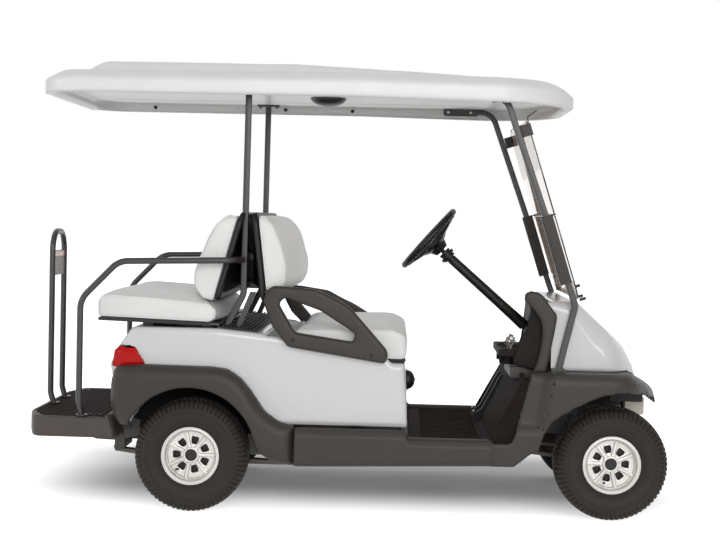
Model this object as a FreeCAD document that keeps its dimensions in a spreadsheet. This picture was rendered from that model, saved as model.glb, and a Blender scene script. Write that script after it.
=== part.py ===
import FreeCAD, Part
import math
import os

# Golf cart with two seats forward, two seats back, a fixed roof and a folding windshield.
# Millimetres. +X is forward, +Y is to the left, +Z is up. The origin is on the ground,
# under the middle of the overall box.

V = FreeCAD.Vector
doc = FreeCAD.newDocument("golf_cart")
sheet = doc.addObject("Spreadsheet::Sheet", "Sizes")

# alias, value, meaning
SIZES = [
    ("wheelbase", 1664, "rear axle to front axle"),
    ("rear_overhang", 701, "rear axle to the rear edge of the step"),
    ("front_overhang", 255, "front axle to the nose"),
    ("wheel_radius", 225, "tyre outside radius"),
    ("tyre_width", 216, "tyre width"),
    ("rear_track", 978, "between the middles of the rear tyres"),
    ("front_track", 876, "between the middles of the front tyres"),
    ("spindle_radius", 12.5, "axle shaft and spindle"),
    ("running_gap", 0.05, "radial gap of a running bore"),
    ("seat_gap", 0.3, "gap between pieces that seat on a curve"),
    ("kingpin_spread", 600, "between the kingpins"),
    ("kingpin_radius", 9, "kingpin"),
    ("steering_arm", 110, "kingpin to the eye of the tie rod"),
    ("tie_rod_drop", 50, "tie rod below the axle"),
    ("tie_rod_radius", 8, "tie rod"),
    ("rail_inner", 135, "middle to the inner face of a frame rail"),
    ("rail_width", 50, "frame rail across"),
    ("rail_low", 205, "underside of the rails below the floor"),
    ("rail_high", 300, "underside of the rails over the axles"),
    ("rail_depth", 80, "frame rail up and down"),
    ("floor_wall", 15, "floor and toe board"),
    ("body_half", 528, "middle to the side of the rear body"),
    ("body_wall", 12, "skin of the body panels"),
    ("floor_half", 545, "middle to the edge of the floor"),
    ("front_half", 585, "middle to the side of the front fender"),
    ("fender_half", 600, "middle to the side of a rear fender"),
    ("cowl_half", 458, "middle to the side of the cowl"),
    ("front_arch_gap", 73, "front wheel opening round the tyre"),
    ("rear_arch_gap", 43, "rear wheel opening round the tyre"),
    ("deck_top", 727, "top of the rear body"),
    ("seat_deck", 606, "top of the rear body below the front seat"),
    ("fender_deck", 586, "top of the front fender"),
    ("seat_half", 505, "middle to the end of a seat cushion"),
    ("cushion_depth", 157, "front seat cushion"),
    ("base_depth", 12, "board below the front seat cushion"),
    ("seat_gap_low", 0.5, "board of the front seat above the body"),
    ("arm_depth", 38, "armrest across"),
    ("tube", 25, "outside of the square and round tubes"),
    ("rear_strut_half", 440, "middle to a rear roof strut"),
    ("front_strut_half", 474, "middle to a front roof strut"),
    ("roof_half", 585, "middle to the side of the roof"),
    ("roof_under", 1685, "flat underside of the roof"),
    ("roof_side", 95, "roof rim, from its lower edge to its shoulder"),
    ("roof_crown", 60, "raised middle above the shoulder"),
    ("roof_rim", 30, "roof rim across"),
    ("pane", 6, "windshield"),
    ("pane_half", 480, "middle to the side edge of the windshield"),
    ("step_top", 364, "tread of the rear step"),
    ("step_half", 505, "middle to the end of the rear step"),
    ("step_depth", 79, "rear step up and down"),
    ("hoop_half", 110, "middle to a leg of the grab hoop"),
    ("hoop_top", 1105, "top of the grab hoop"),
    ("driver_y", 280, "middle to the steering column"),
    ("steering_wheel_radius", 160, "middle of the rim of the steering wheel"),
    ("steering_rim", 12, "rim section of the steering wheel"),
    ("column_radius", 18, "steering column sleeve"),
    ("cup_radius", 36, "inside of a cup holder"),
    ("cup_depth", 62, "inside of a cup holder"),
    ("hoop_radius", 12.5, "round tube of the hoop and handrails"),
]
for row, (alias, value, meaning) in enumerate(SIZES, 1):
    sheet.set("A%d" % row, meaning)
    sheet.set("B%d" % row, str(value))
    sheet.setAlias("B%d" % row, alias)
doc.recompute()


def size(alias):
    return float(sheet.get(alias))


half_length = (size("rear_overhang") + size("wheelbase") + size("front_overhang")) / 2
rear_x = size("rear_overhang") - half_length
front_x = half_length - size("front_overhang")
hub_z = size("wheel_radius")


def rear(rows):
    """Rows of (x from the rear axle, z, corner radius), moved to the origin."""
    return [(rear_x + x, z, r) for x, z, r in rows]


def front(rows):
    """Rows of (x from the front axle, z, corner radius), moved to the origin."""
    return [(front_x + x, z, r) for x, z, r in rows]


def rounded(points, radii, closed):
    """Straight edges through points, with a tangent arc of each given radius at its corner."""
    count = len(points)
    starts = list(points)
    ends = list(points)
    arcs = [None] * count
    for i in range(count):
        if radii[i] <= 0 or (not closed and i in (0, count - 1)):
            continue
        here = points[i]
        back = (points[i - 1] - here).normalize()
        ahead = (points[(i + 1) % count] - here).normalize()
        if (back + ahead).Length < 1e-6:
            continue
        half_angle = back.getAngle(ahead) / 2
        reach = radii[i] / math.tan(half_angle)
        middle = (back + ahead).normalize()
        centre = here + middle * (radii[i] / math.sin(half_angle))
        starts[i] = here + back * reach
        ends[i] = here + ahead * reach
        arcs[i] = Part.Arc(starts[i], centre - middle * radii[i], ends[i])
    for i in range(count if closed else count - 1):
        after = (i + 1) % count
        run = (points[after] - points[i]).Length
        if (ends[i] - points[i]).Length + (starts[after] - points[after]).Length > run + 1e-6:
            raise RuntimeError("corners at %s and %s overlap" % (points[i], points[after]))
    edges = []
    for i in range(count):
        if arcs[i]:
            edges.append(arcs[i])
        if i < count - 1 or closed:
            after = (i + 1) % count
            if (starts[after] - ends[i]).Length > 1e-6:
                edges.append(Part.LineSegment(ends[i], starts[after]))
    return edges


def outline(rows):
    """Closed flat outline from rows of (across, up, corner radius)."""
    return rounded([V(a, b, 0) for a, b, r in rows], [r for a, b, r in rows], True)


def inset(rows, distance):
    """The same outline moved inwards by a distance, as edges."""
    wire = Part.Wire([g.toShape() for g in outline(rows)])
    face = Part.Face(wire).makeOffset2D(-distance, 2, False, False, False)
    return face.OuterWire.Edges


def flat_sketch(name, edges, plane):
    """A sketch outside any body: plane XZ is seen from the side, plane XY from above."""
    turn = {"XZ": FreeCAD.Rotation(V(1, 0, 0), 90), "XY": FreeCAD.Rotation()}[plane]
    sketch = doc.addObject("Sketcher::SketchObject", name)
    sketch.Placement = FreeCAD.Placement(V(0, 0, 0), turn)
    for edge in edges:
        sketch.addGeometry(edge if not hasattr(edge, "Curve") else as_geometry(edge))
    return sketch


def as_geometry(edge):
    """A line or arc edge as sketch geometry."""
    first, last = edge.ParameterRange
    if edge.Curve.TypeId == "Part::GeomLine":
        return Part.LineSegment(edge.valueAt(first), edge.valueAt(last))
    middle = (first + last) / 2
    return Part.Arc(edge.valueAt(first), edge.valueAt(middle), edge.valueAt(last))


def slab(name, edges, low, high, plane="XZ"):
    """A flat outline pulled from low to high across its plane; low and high may be formulas."""
    if edges and isinstance(edges[0], tuple):
        edges = outline(edges)
    sketch = flat_sketch(name + "_outline", edges, plane)
    pull = doc.addObject("Part::Extrusion", name)
    pull.Base = sketch
    pull.DirMode = "Custom"
    pull.Dir = {"XZ": V(0, 1, 0), "XY": V(0, 0, 1)}[plane]
    pull.Solid = True
    pull.setExpression("LengthFwd", formula(high))
    pull.setExpression("LengthRev", "-(%s)" % formula(low))
    return pull


def formula(value):
    return value if isinstance(value, str) else repr(float(value))


def block(name, x_range, y_range, z_range):
    box = doc.addObject("Part::Box", name)
    box.Length = x_range[1] - x_range[0]
    box.Width = y_range[1] - y_range[0]
    box.Height = z_range[1] - z_range[0]
    box.Placement.Base = V(x_range[0], y_range[0], z_range[0])
    return box


def rod(name, start, finish, radius):
    """A round bar between two points; the radius may be a formula."""
    bar = doc.addObject("Part::Cylinder", name)
    bar.Height = (finish - start).Length
    bar.setExpression("Radius", formula(radius))
    bar.Placement = FreeCAD.Placement(start, FreeCAD.Rotation(V(0, 0, 1), finish - start))
    return bar


def bent_bar(name, points, bend, square, width):
    """A square or round bar swept along straight runs joined by arcs of one radius."""
    path = doc.addObject("Part::Feature", name + "_path")
    edges = rounded(points, [bend] * len(points), False)
    path.Shape = Part.Wire([g.toShape() for g in edges])
    along = points[1] - points[0]
    if square:
        flat = 0.5 * width
        ring = Part.makePolygon([V(a, b, 0) for a, b in
                                 ((-flat, -flat), (flat, -flat), (flat, flat), (-flat, flat), (-flat, -flat))])
        ends = doc.addObject("Part::Feature", name + "_section")
        ends.Shape = ring
        ends.Placement = FreeCAD.Placement(points[0], FreeCAD.Rotation(V(0, 0, 0), V(0, 1, 0), along, "ZYX"))
    else:
        ends = doc.addObject("Part::Circle", name + "_section")
        ends.Radius = width / 2
        ends.Placement = FreeCAD.Placement(points[0], FreeCAD.Rotation(V(0, 0, 1), along))
    sweep = doc.addObject("Part::Sweep", name)
    sweep.Sections = [ends]
    sweep.Spine = (path, [])
    sweep.Solid = True
    sweep.Frenet = False
    return sweep


def fused(name, pieces):
    joint = doc.addObject("Part::MultiFuse", name)
    joint.Shapes = pieces
    joint.Refine = True
    return joint


def without(name, piece, tools):
    """A piece with the tools' shapes taken out of it."""
    removal = doc.addObject("Part::Cut", name)
    removal.Base = piece
    removal.Tool = tools[0] if len(tools) == 1 else grouped(name + "_tools", tools)
    return removal


def grouped(name, pieces):
    group = doc.addObject("Part::Compound", name)
    group.Links = pieces
    return group


def shared(name, pieces):
    overlap = doc.addObject("Part::MultiCommon", name)
    overlap.Shapes = pieces
    return overlap


def mirrored(piece):
    """The same piece on the other side of the cart."""
    copy = doc.addObject("Part::Mirroring", piece.Name + "_left")
    copy.Source = piece
    copy.Normal = V(0, 1, 0)
    return copy


nodes = []


def node(name, piece):
    """Gives a finished piece its own name and keeps it for export."""
    piece.Label = name
    nodes.append(piece)
    return piece


def both(name, piece):
    """The piece and its mirror as one node of two solids."""
    return node(name, grouped(name + "_pair", [piece, mirrored(piece)]))


# ---- frame ---------------------------------------------------------------------------------
rail_top_low = size("rail_low") + size("rail_depth")
rail_top_high = size("rail_high") + size("rail_depth")
rail_rows = rear([
    (-640, 262, 0), (-439, 262, 20), (-400, 230, 20), (-180, 230, 20), (-110, size("rail_high"), 20),
    (240, size("rail_high"), 20), (335, size("rail_low"), 20),
]) + front([
    (-420, size("rail_low"), 20), (-325, size("rail_high"), 20), (175, size("rail_high"), 0),
    (175, rail_top_high, 0), (-365, rail_top_high, 20), (-460, rail_top_low, 20),
]) + rear([
    (370, rail_top_low, 20), (275, rail_top_high, 20), (-250, rail_top_high, 0),
    (-250, 285, 0), (-640, 285, 0),
])
rail_outer = size("rail_inner") + size("rail_width")
rail = slab("rail", rail_rows, "-Sizes.rail_inner - Sizes.rail_width", "-Sizes.rail_inner")
cross_reach = size("rail_inner") + 10
# name, x from which axle, x low, x high, z low, z high
crossings = [
    ("cross_step", rear_x, -600, -560, 262, 285), ("cross_rear", rear_x, -240, -200, 310, 370),
    ("cross_seat", rear_x, 330, 370, 215, 275), ("cross_mid", rear_x, 830, 870, 215, 275),
    ("cross_toe", front_x, -500, -460, 215, 275), ("cross_gear", front_x, -140, -80, 310, 370),
    ("cross_nose", front_x, 125, 205, 358, 433),
]
frame_parts = [rail, mirrored(rail)]
for name, base, x_low, x_high, z_low, z_high in crossings:
    frame_parts.append(block(name, (base + x_low, base + x_high), (-cross_reach, cross_reach), (z_low, z_high)))
# name, x from which axle, x low, x high, outer y, z low, z high: arms that carry body and springs
arms = [
    ("arm_rear_hanger", rear_x, -345, -305, 330, 212, 260), ("arm_front_hanger", rear_x, 365, 405, 330, 172, 260),
    ("arm_floor_rear", rear_x, 620, 670, 540, 235, rail_top_low), ("arm_floor_front", front_x, -570, -520, 540, 235, rail_top_low),
]
for name, base, x_low, x_high, y_outer, z_low, z_high in arms:
    arm = block(name, (base + x_low, base + x_high), (-y_outer, -size("rail_inner") - 10), (z_low, z_high))
    frame_parts += [arm, mirrored(arm)]
# brackets between the bumper beam and the inside of the fender's nose
nose_rows = front([(195, 370, 0), (232.2, 370, 0), (241.7, 445, 0), (195, 445, 0)])
nose_bracket = slab("nose_bracket", nose_rows, "-Sizes.rail_inner - Sizes.rail_width", "-Sizes.rail_inner")
frame_parts += [nose_bracket, mirrored(nose_bracket)]
spring_eyes = [("eye_rear", -345, -315, 227), ("eye_front", 145, 175, 222)]
for name, x_low, x_high, z_low in spring_eyes:
    eye = block(name, (front_x + x_low, front_x + x_high), (-rail_outer, -size("rail_inner")), (z_low, 310))
    frame_parts += [eye, mirrored(eye)]
node("chassis_frame", fused("frame_fused", frame_parts))

# ---- axles and steering --------------------------------------------------------------------
front_half_track = size("front_track") / 2
rear_half_track = size("rear_track") / 2
pin_y = size("kingpin_spread") / 2
beam_half = 25
front_pad = hub_z - beam_half
front_spring_rows = front([
    (-345, 215, 0), (-345, 227, 0), (-20, front_pad, 0), (20, front_pad, 0), (175, 222, 0), (175, 210, 0),
    (40, front_pad - 16, 30), (-40, front_pad - 16, 30),
])
rear_pad = hub_z - 35
rear_spring_rows = rear([
    (-345, 200, 0), (-345, 212, 0), (-40, rear_pad, 0), (40, rear_pad, 0), (365, 172, 0), (405, 172, 0),
    (405, 160, 0), (40, rear_pad - 30, 60), (-40, rear_pad - 30, 60),
])
front_spring = slab("front_spring", front_spring_rows, -rail_outer, -size("rail_inner"))
rear_spring = slab("rear_spring", rear_spring_rows, -325, -275)
node("leaf_springs", grouped("springs", [front_spring, mirrored(front_spring), rear_spring, mirrored(rear_spring)]))

web_y = pin_y - 60
yoke_top = hub_z + 49
yoke_low = hub_z - 49
yoke_plate = 12
beam = block("beam", (front_x - 20, front_x + 20), (-web_y - 10, web_y + 10), (hub_z - beam_half, hub_z + beam_half))
web = block("yoke_web", (front_x - 25, front_x + 25), (-web_y - 18, -web_y + 2), (yoke_low, yoke_top))
plates = []
for name, z_low in (("yoke_low", yoke_low), ("yoke_high", yoke_top - yoke_plate)):
    plates.append(block(name, (front_x - 22, front_x + 22), (-pin_y, -web_y), (z_low, z_low + yoke_plate)))
    plates.append(rod(name + "_end", V(front_x, -pin_y, z_low), V(front_x, -pin_y, z_low + yoke_plate), 22))
kingpin = rod("kingpin", V(front_x, -pin_y, yoke_low), V(front_x, -pin_y, yoke_top), "Sizes.kingpin_radius")
yoke = fused("yoke", [web, kingpin] + plates)
node("front_axle", fused("front_axle_fused", [beam, yoke, mirrored(yoke)]))

barrel_gap = 1
barrel_low = yoke_low + yoke_plate + barrel_gap
barrel_top = yoke_top - yoke_plate - barrel_gap
barrel = rod("barrel", V(front_x, -pin_y, barrel_low), V(front_x, -pin_y, barrel_top), 18)
hub_inner = 43
hub_outer = 36
spindle = rod("spindle", V(front_x, -pin_y - 12, hub_z), V(front_x, -front_half_track - hub_outer, hub_z),
              "Sizes.spindle_radius")
arm_x = front_x - size("steering_arm")
arm = block("steering_arm", (arm_x - 14, front_x - 12), (-pin_y - 11, -pin_y + 11), (barrel_low + 5, barrel_low + 17))
bore = rod("kingpin_bore", V(front_x, -pin_y, barrel_low - 5), V(front_x, -pin_y, barrel_top + 5),
           "Sizes.kingpin_radius + Sizes.running_gap")
knuckle = without("knuckle", fused("knuckle_solid", [barrel, spindle, arm]), [bore])
node("knuckle_right", knuckle)
node("knuckle_left", mirrored(knuckle))

rod_z = hub_z - size("tie_rod_drop")
tie = rod("tie", V(arm_x, -pin_y, rod_z), V(arm_x, pin_y, rod_z), "Sizes.tie_rod_radius")
eyes = []
for side in (-1, 1):
    eyes.append(rod("tie_eye", V(arm_x, side * pin_y, rod_z - 9), V(arm_x, side * pin_y, rod_z + 9), 13))
node("tie_rod", fused("tie_fused", [tie] + eyes))
gear_half = 118
gear_box = block("gear_box", (arm_x - 22, arm_x + 22), (-gear_half, gear_half), (rod_z - 20, rod_z + 20))
gear_bracket = block("gear_bracket", (arm_x - 15, arm_x + 15), (-60, 60), (rod_z + 10, 310))
gear_bore = rod("gear_bore", V(arm_x, -gear_half - 5, rod_z), V(arm_x, gear_half + 5, rod_z),
                "Sizes.tie_rod_radius + Sizes.running_gap")
node("steering_gear", without("gear", fused("gear_solid", [gear_box, gear_bracket]), [gear_bore]))

axle_tube = rod("axle_tube", V(rear_x, -400, hub_z), V(rear_x, 400, hub_z), 32)
axle_shaft = rod("axle_shaft", V(rear_x, -rear_half_track - hub_outer, hub_z),
                 V(rear_x, rear_half_track + hub_outer, hub_z), "Sizes.spindle_radius")
final_rows = rear([(-80, hub_z - 75, 40), (97, hub_z - 75, 10), (97, hub_z + 85, 10), (-80, hub_z + 85, 60)])
final_drive = slab("final_drive", final_rows, -110, 110)
axle_parts = [axle_tube, axle_shaft, final_drive]
for side in (-1, 1):
    axle_parts.append(rod("brake_plate", V(rear_x, side * 392, hub_z), V(rear_x, side * 425, hub_z), 80))
    axle_parts.append(block("spring_seat", (rear_x - 40, rear_x + 40), (side * 300 - 30, side * 300 + 30),
                            (rear_pad, hub_z + 5)))
node("rear_axle", fused("rear_axle_fused", axle_parts))
node("drive_motor", block("motor_block", (rear_x + 97, rear_x + 270), (-115, 125),
                           (hub_z - 60, hub_z + 105)))
node("battery_pack", block("battery_block", (rear_x + 430, rear_x + 800), (-260, 260), (rail_top_low, 545)))

# ---- wheels: axis along Y, outer face towards -Y, origin at the middle of the tyre -----------
rim_width = 178
rim_radius = 101.5
lip_radius = 115
rim_wall = 4.5
lip = 4
disc_low = 38
disc_wall = 8
hub_radius = 32
cap_radius = 25


def ring(name, corners):
    """A solid of revolution about Y from corners of (radius, outward y)."""
    points = [V(r, -y, 0) for r, y in corners]
    wheel_body = doc.addObject("PartDesign::Body", name)
    sketch = wheel_body.newObject("Sketcher::SketchObject", name + "_section")
    plane = [f for f in wheel_body.Origin.OriginFeatures if f.Role == "XY_Plane"][0]
    sketch.AttachmentSupport = [(plane, "")]
    sketch.MapMode = "FlatFace"
    for edge in rounded(points, [0] * len(points), True):
        sketch.addGeometry(edge)
    turn = wheel_body.newObject("PartDesign::Revolution", name + "_turn")
    turn.Profile = sketch
    turn.ReferenceAxis = (sketch, ["V_Axis"])
    turn.Angle = 360
    return wheel_body


half_rim = rim_width / 2
bore_radius = size("spindle_radius") + size("running_gap")
rim_corners = [
    (bore_radius, -hub_inner), (hub_radius, -hub_inner), (hub_radius, disc_low), (rim_radius - rim_wall, disc_low),
    (rim_radius - rim_wall, -half_rim), (lip_radius, -half_rim), (lip_radius, lip - half_rim),
    (rim_radius, lip - half_rim), (rim_radius, half_rim - lip), (lip_radius, half_rim - lip),
    (lip_radius, half_rim), (rim_radius - rim_wall, half_rim), (rim_radius - rim_wall, disc_low + disc_wall),
    (cap_radius, disc_low + disc_wall), (cap_radius, disc_low + disc_wall + 12), (0, disc_low + disc_wall + 12),
    (0, disc_low + 4), (bore_radius, disc_low + 4),
]
outer = size("wheel_radius")
half_tyre = size("tyre_width") / 2
bead = rim_radius + size("seat_gap")
bead_y = half_rim - lip - size("seat_gap")
tread_wall = 14
tyre_half_section = [
    (bead, bead_y), (lip_radius + 1, bead_y), (124, bead_y + 8), (142, half_tyre - 3), (168, half_tyre), (190, half_tyre - 5),
    (outer - 13, half_tyre - 18), (outer, half_tyre - 40),
]
inner_half_section = [
    (outer - tread_wall, half_tyre - 44), (outer - 30, half_tyre - 28), (168, half_tyre - 12),
    (140, half_tyre - 16), (118, bead_y - 12), (bead, bead_y - 12),
]
tyre_corners = tyre_half_section + [(r, -y) for r, y in reversed(tyre_half_section)]
tyre_corners += [(r, -y) for r, y in reversed(inner_half_section)] + inner_half_section

window_count = 7
window_rows = [(40, -11, 3), (72, -17, 4), (72, 17, 4), (40, 11, 3)]


def rim_shape(name):
    turned = ring(name + "_turned", rim_corners)
    edges = outline(window_rows)
    sketch = turned.newObject("Sketcher::SketchObject", name + "_window")
    plane = [f for f in turned.Origin.OriginFeatures if f.Role == "XZ_Plane"][0]
    sketch.AttachmentSupport = [(plane, "")]
    sketch.MapMode = "FlatFace"
    for edge in edges:
        sketch.addGeometry(edge)
    window = turned.newObject("PartDesign::Pocket", name + "_cut")
    window.Profile = sketch
    window.Type = "ThroughAll"
    window.Midplane = True
    pattern = turned.newObject("PartDesign::PolarPattern", name + "_windows")
    pattern.Originals = [window]
    pattern.Axis = ([f for f in turned.Origin.OriginFeatures if f.Role == "Y_Axis"][0], [""])
    pattern.Angle = 360
    pattern.Occurrences = window_count
    turned.Tip = pattern
    return turned


# name, x, half track, side
wheels = [
    ("front_right", front_x, front_half_track, -1), ("front_left", front_x, front_half_track, 1),
    ("rear_right", rear_x, rear_half_track, -1), ("rear_left", rear_x, rear_half_track, 1),
]
for name, x, half_track, side in wheels:
    place = FreeCAD.Placement(V(x, side * half_track, hub_z), FreeCAD.Rotation(V(0, 0, 1), 0 if side < 0 else 180))
    tyre = ring(name + "_tyre_body", tyre_corners)
    tyre.Placement = place
    node(name + "_tyre", tyre)
    rim = rim_shape(name + "_rim_body")
    rim.Placement = place
    node(name + "_rim", rim)

# ---- floor, sills and body -----------------------------------------------------------------
floor_top = rail_top_low + size("floor_wall")
seat_front = rear_x + 861
toe_top = 575
floor_rows = [(seat_front, rail_top_low, 0)] + front([
    (-480, rail_top_low, 20), (-352, 546, 0), (-352, toe_top, 0), (-366, toe_top, 0), (-366, 548, 0),
    (-489, floor_top, 20),
]) + [(seat_front, floor_top, 0)]
floor_pan = slab("floor_slab", floor_rows, "-Sizes.floor_half", "Sizes.floor_half")
node("floor_pan", floor_pan)

sill_front = front_x - 489
sill_rows = rear([(408, 193, 0), (408, 349, 0)]) + [
    (seat_front - 16, 349, 8), (seat_front + 2, 320, 8), (sill_front, 320, 0), (sill_front, 193, 0)]
sill = slab("sill", sill_rows, "-Sizes.front_half", "-Sizes.floor_half")
both("rocker_panels", sill)

body_rows = rear([
    (-279, 338, 0), (-342, 573, 30), (-301, 650, 40), (-248, size("deck_top"), 30), (100, size("deck_top"), 60),
    (252, 713, 20), (390, 698, 60), (762, 640, 20), (792, size("seat_deck"), 10), (839, size("seat_deck"), 10),
    (861, 349, 0), (408, 349, 0), (330, 338, 0),
])
seat_recess_rows = rear([(262, 740, 0), (318, size("seat_deck"), 15), (870, size("seat_deck"), 0), (870, 740, 0)])
body_plan = rear([(-344, -size("body_half"), 90), (870, -size("body_half"), 8), (870, size("body_half"), 8),
                  (-344, size("body_half"), 90)])
wall = size("body_wall")
outer_body = shared("body_outer", [
    slab("body_side", body_rows, -700, 700), slab("body_plan", body_plan, 300, 900, "XY")])
inner_rows = rear([
    (-267, 300, 0), (-330, 575, 25), (-289, 648, 30), (-240, size("deck_top") - wall, 20),
    (100, size("deck_top") - wall, 50), (245, 713 - wall, 15), (310, size("seat_deck") - wall, 15),
    (828, size("seat_deck") - wall, 12), (851, 300, 0),
])
inner_plan = rear([(-332, wall - size("body_half"), 80), (857, wall - size("body_half"), 4),
                   (857, size("body_half") - wall, 4), (-332, size("body_half") - wall, 80)])
inner_body = shared("body_inner", [
    slab("body_inner_side", inner_rows, -700, 700), slab("body_inner_plan", inner_plan, 200, 900, "XY")])
arch_x = rear_x - 8
arch_z = hub_z + 3
arch_cut = rod("rear_arch_cut", V(arch_x, -700, arch_z), V(arch_x, 700, arch_z),
               "Sizes.wheel_radius + Sizes.rear_arch_gap")
seat_recess = slab("seat_recess", seat_recess_rows, "-Sizes.body_half + Sizes.body_wall",
                   "Sizes.body_half - Sizes.body_wall")
hatch = block("battery_hatch", (rear_x + 420, rear_x + 790), (-420, 420), (560, 640))
rear_body = without("rear_body_cut", outer_body, [inner_body, seat_recess, arch_cut, hatch])
node("rear_body", rear_body)

rear_fender_rows = rear([
    (-277, 338, 0), (-330, 440, 60), (-310, 566, 20), (-184, 580, 90), (60, 580, 160), (200, 500, 120),
    (310, 366, 90), (407, 350, 0), (407, 193, 0), (330, 200, 40), (240, 260, 0), (0, 340, 0),
])
fender_solid = slab("fender_solid", rear_fender_rows, "-Sizes.fender_half", "-Sizes.body_half")
fender_hollow = slab("fender_hollow", [as_geometry(e) for e in inset(rear_fender_rows, wall)],
                     "-Sizes.fender_half + Sizes.body_wall", "-Sizes.body_half + 1")
both("rear_fenders", without("fender", fender_solid, [fender_hollow, arch_cut]))

nose_low = 430
front_fender_rows = front([
    (-489, 193, 0), (-489, 320, 20), (-364, 546, 60), (-270, size("fender_deck"), 60), (65, size("fender_deck"), 60),
    (151, 534, 60), (222, 498, 30), (255, 455, 20), (246, 420, 8), (190, nose_low, 0), (0, nose_low, 0),
    (-330, 260, 0), (-390, 193, 30),
])
front_half = size("front_half")
front_plan = front([(-520, -front_half, 0), (255, -front_half, 230), (255, front_half, 230), (-520, front_half, 0)])
outer_fender = shared("front_outer", [
    slab("front_side", front_fender_rows, -700, 700), slab("front_plan", front_plan, 100, 900, "XY")])
inner_front_rows = front([
    (-600, 100, 0), (-600, size("fender_deck") - wall, 0), (60, size("fender_deck") - wall, 50), (145, 522, 50),
    (214, 489, 20), (243, 455, 12), (236, 400, 0), (236, 100, 0),
])
inner_front_plan = front([(-600, wall - front_half, 0), (243, wall - front_half, 218), (243, front_half - wall, 218),
                          (-600, front_half - wall, 0)])
inner_fender = shared("front_inner", [
    slab("front_inner_side", inner_front_rows, -700, 700),
    slab("front_inner_plan", inner_front_plan, 50, 900, "XY")])
floor_space = block("floor_space", (front_x - 600, front_x - 340), (-size("floor_half"), size("floor_half")), (100, 700))
dash_space = block("dash_space", (front_x - 600, front_x - 262), (-505, 505), (540, 700))
front_arch_cut = rod("front_arch_cut", V(front_x, -700, hub_z), V(front_x, 700, hub_z),
                     "Sizes.wheel_radius + Sizes.front_arch_gap")
front_fender = without("front_fender_cut", outer_fender,
                       [inner_fender, front_arch_cut, floor_space, dash_space])
node("front_fender", front_fender)

cowl_rows = front([
    (-250, size("fender_deck"), 0), (-190, 866, 18), (-140, 862, 40), (-32, 765, 300), (60, 685, 200),
    (118, 605, 60), (148, 537, 0), (65, size("fender_deck"), 60),
])
cowl_half = size("cowl_half")
cowl_plan = front([(-300, -cowl_half, 0), (20, -cowl_half, 120), (160, -300, 120), (160, 300, 120), (20, cowl_half, 120),
                   (-300, cowl_half, 0)])
cowl_outer = shared("cowl_outer", [
    slab("cowl_side", cowl_rows, -700, 700), slab("cowl_plan", cowl_plan, 400, 900, "XY")])
cowl_inner_rows = front([
    (-400, 560, 0), (-400, 850, 0), (-145, 848, 30), (-40, 754, 290), (50, 675, 190), (106, 599, 50), (134, 520, 0),
])
cowl_inner_plan = front([(-400, wall - cowl_half, 0), (14, wall - cowl_half, 110), (148, 12 - 300, 110),
                         (148, 300 - 12, 110), (14, cowl_half - wall, 110), (-400, cowl_half - wall, 0)])
cowl_inner = shared("cowl_inner", [
    slab("cowl_inner_side", cowl_inner_rows, -700, 700),
    slab("cowl_inner_plan", cowl_inner_plan, 400, 900, "XY")])
lamp_y = 250
lamps = []
for side in (-1, 1):
    lamps.append(rod("lamp", V(front_x + 40, side * lamp_y, 640), V(front_x + 180, side * lamp_y, 640), 42))
cowl_skin = without("cowl_skin", cowl_outer, [cowl_inner])
node("front_cowl", without("front_cowl_cut", cowl_skin, lamps))
node("headlights", shared("lamp_lenses", [cowl_skin, grouped("lamp_bodies", lamps)]))

# ---- dashboard, column and pedals ----------------------------------------------------------
dash_rows = front([
    (-331, 902, 12), (-355, 866, 12), (-335, 833, 12), (-349, 777, 30), (-366, toe_top, 0), (-266, toe_top, 0),
    (-231, 739, 30), (-225, 799, 15), (-253, 841, 15), (-271, 878, 15), (-300, 904, 15),
])
dash_half = 500
dash_solid = slab("dash_solid", dash_rows, -dash_half, dash_half)
dash_inner = slab("dash_inner", front([
    (-340, 566, 0), (-325, 779, 20), (-312, 833, 8), (-326, 866, 8), (-310, 890, 8), (-288, 867, 5),
    (-270, 836, 5), (-242, 796, 5), (-246, 742, 20), (-282, 566, 0),
]), 12 - dash_half, dash_half - 12)
cup_x = front_x - 402
cup_top = 668
cup_floor = cup_top - size("cup_depth")
cup_wall = 4
tray_box = slab("tray_box", front([(-451, 636, 8), (-451, cup_top, 4), (-335, cup_top, 0), (-335, 636, 0)]), -450, -50)
lower_box = slab("lower_box", front([(-402, 553, 6), (-402, 597, 6), (-345, 597, 0), (-345, 576, 0), (-368, 576, 0),
                                     (-368, 553, 0)]), -450, -100)
dash_parts = [without("dash_skin", dash_solid, [dash_inner]), without("tray_cut", tray_box, [dash_solid]),
              without("lower_cut", lower_box, [dash_solid])]
cups = []
cup_rows = [-340, -160]
for cup_y in cup_rows:
    dash_parts.append(rod("cup", V(cup_x, cup_y, cup_floor - cup_wall), V(cup_x, cup_y, cup_top - 1),
                          "Sizes.cup_radius + %g" % cup_wall))
    cups.append(rod("cup_bore", V(cup_x, cup_y, cup_floor), V(cup_x, cup_y, cup_top + 50), "Sizes.cup_radius"))

driver_y = size("driver_y")
wheel_centre = V(front_x - 730, driver_y, 1095)
column_axis = V(0.754, 0, -0.657).normalize()


def on_column(distance):
    """A point on the steering axis, at a distance below the rim of the steering wheel."""
    return wheel_centre + column_axis * distance


column_top = 92
column_end = 590
column = rod("column_sleeve", on_column(column_top), on_column(column_end), "Sizes.column_radius")
dashboard = without("dash_cut", fused("dash_fused", dash_parts), cups + [column])
node("dashboard", dashboard)
collar = rod("column_collar", on_column(column_top), on_column(column_top + 40), 26)
shaft = rod("column_shaft", on_column(50), on_column(column_top + 5), 10)
node("steering_column", fused("column_fused", [column, collar, shaft]))

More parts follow.
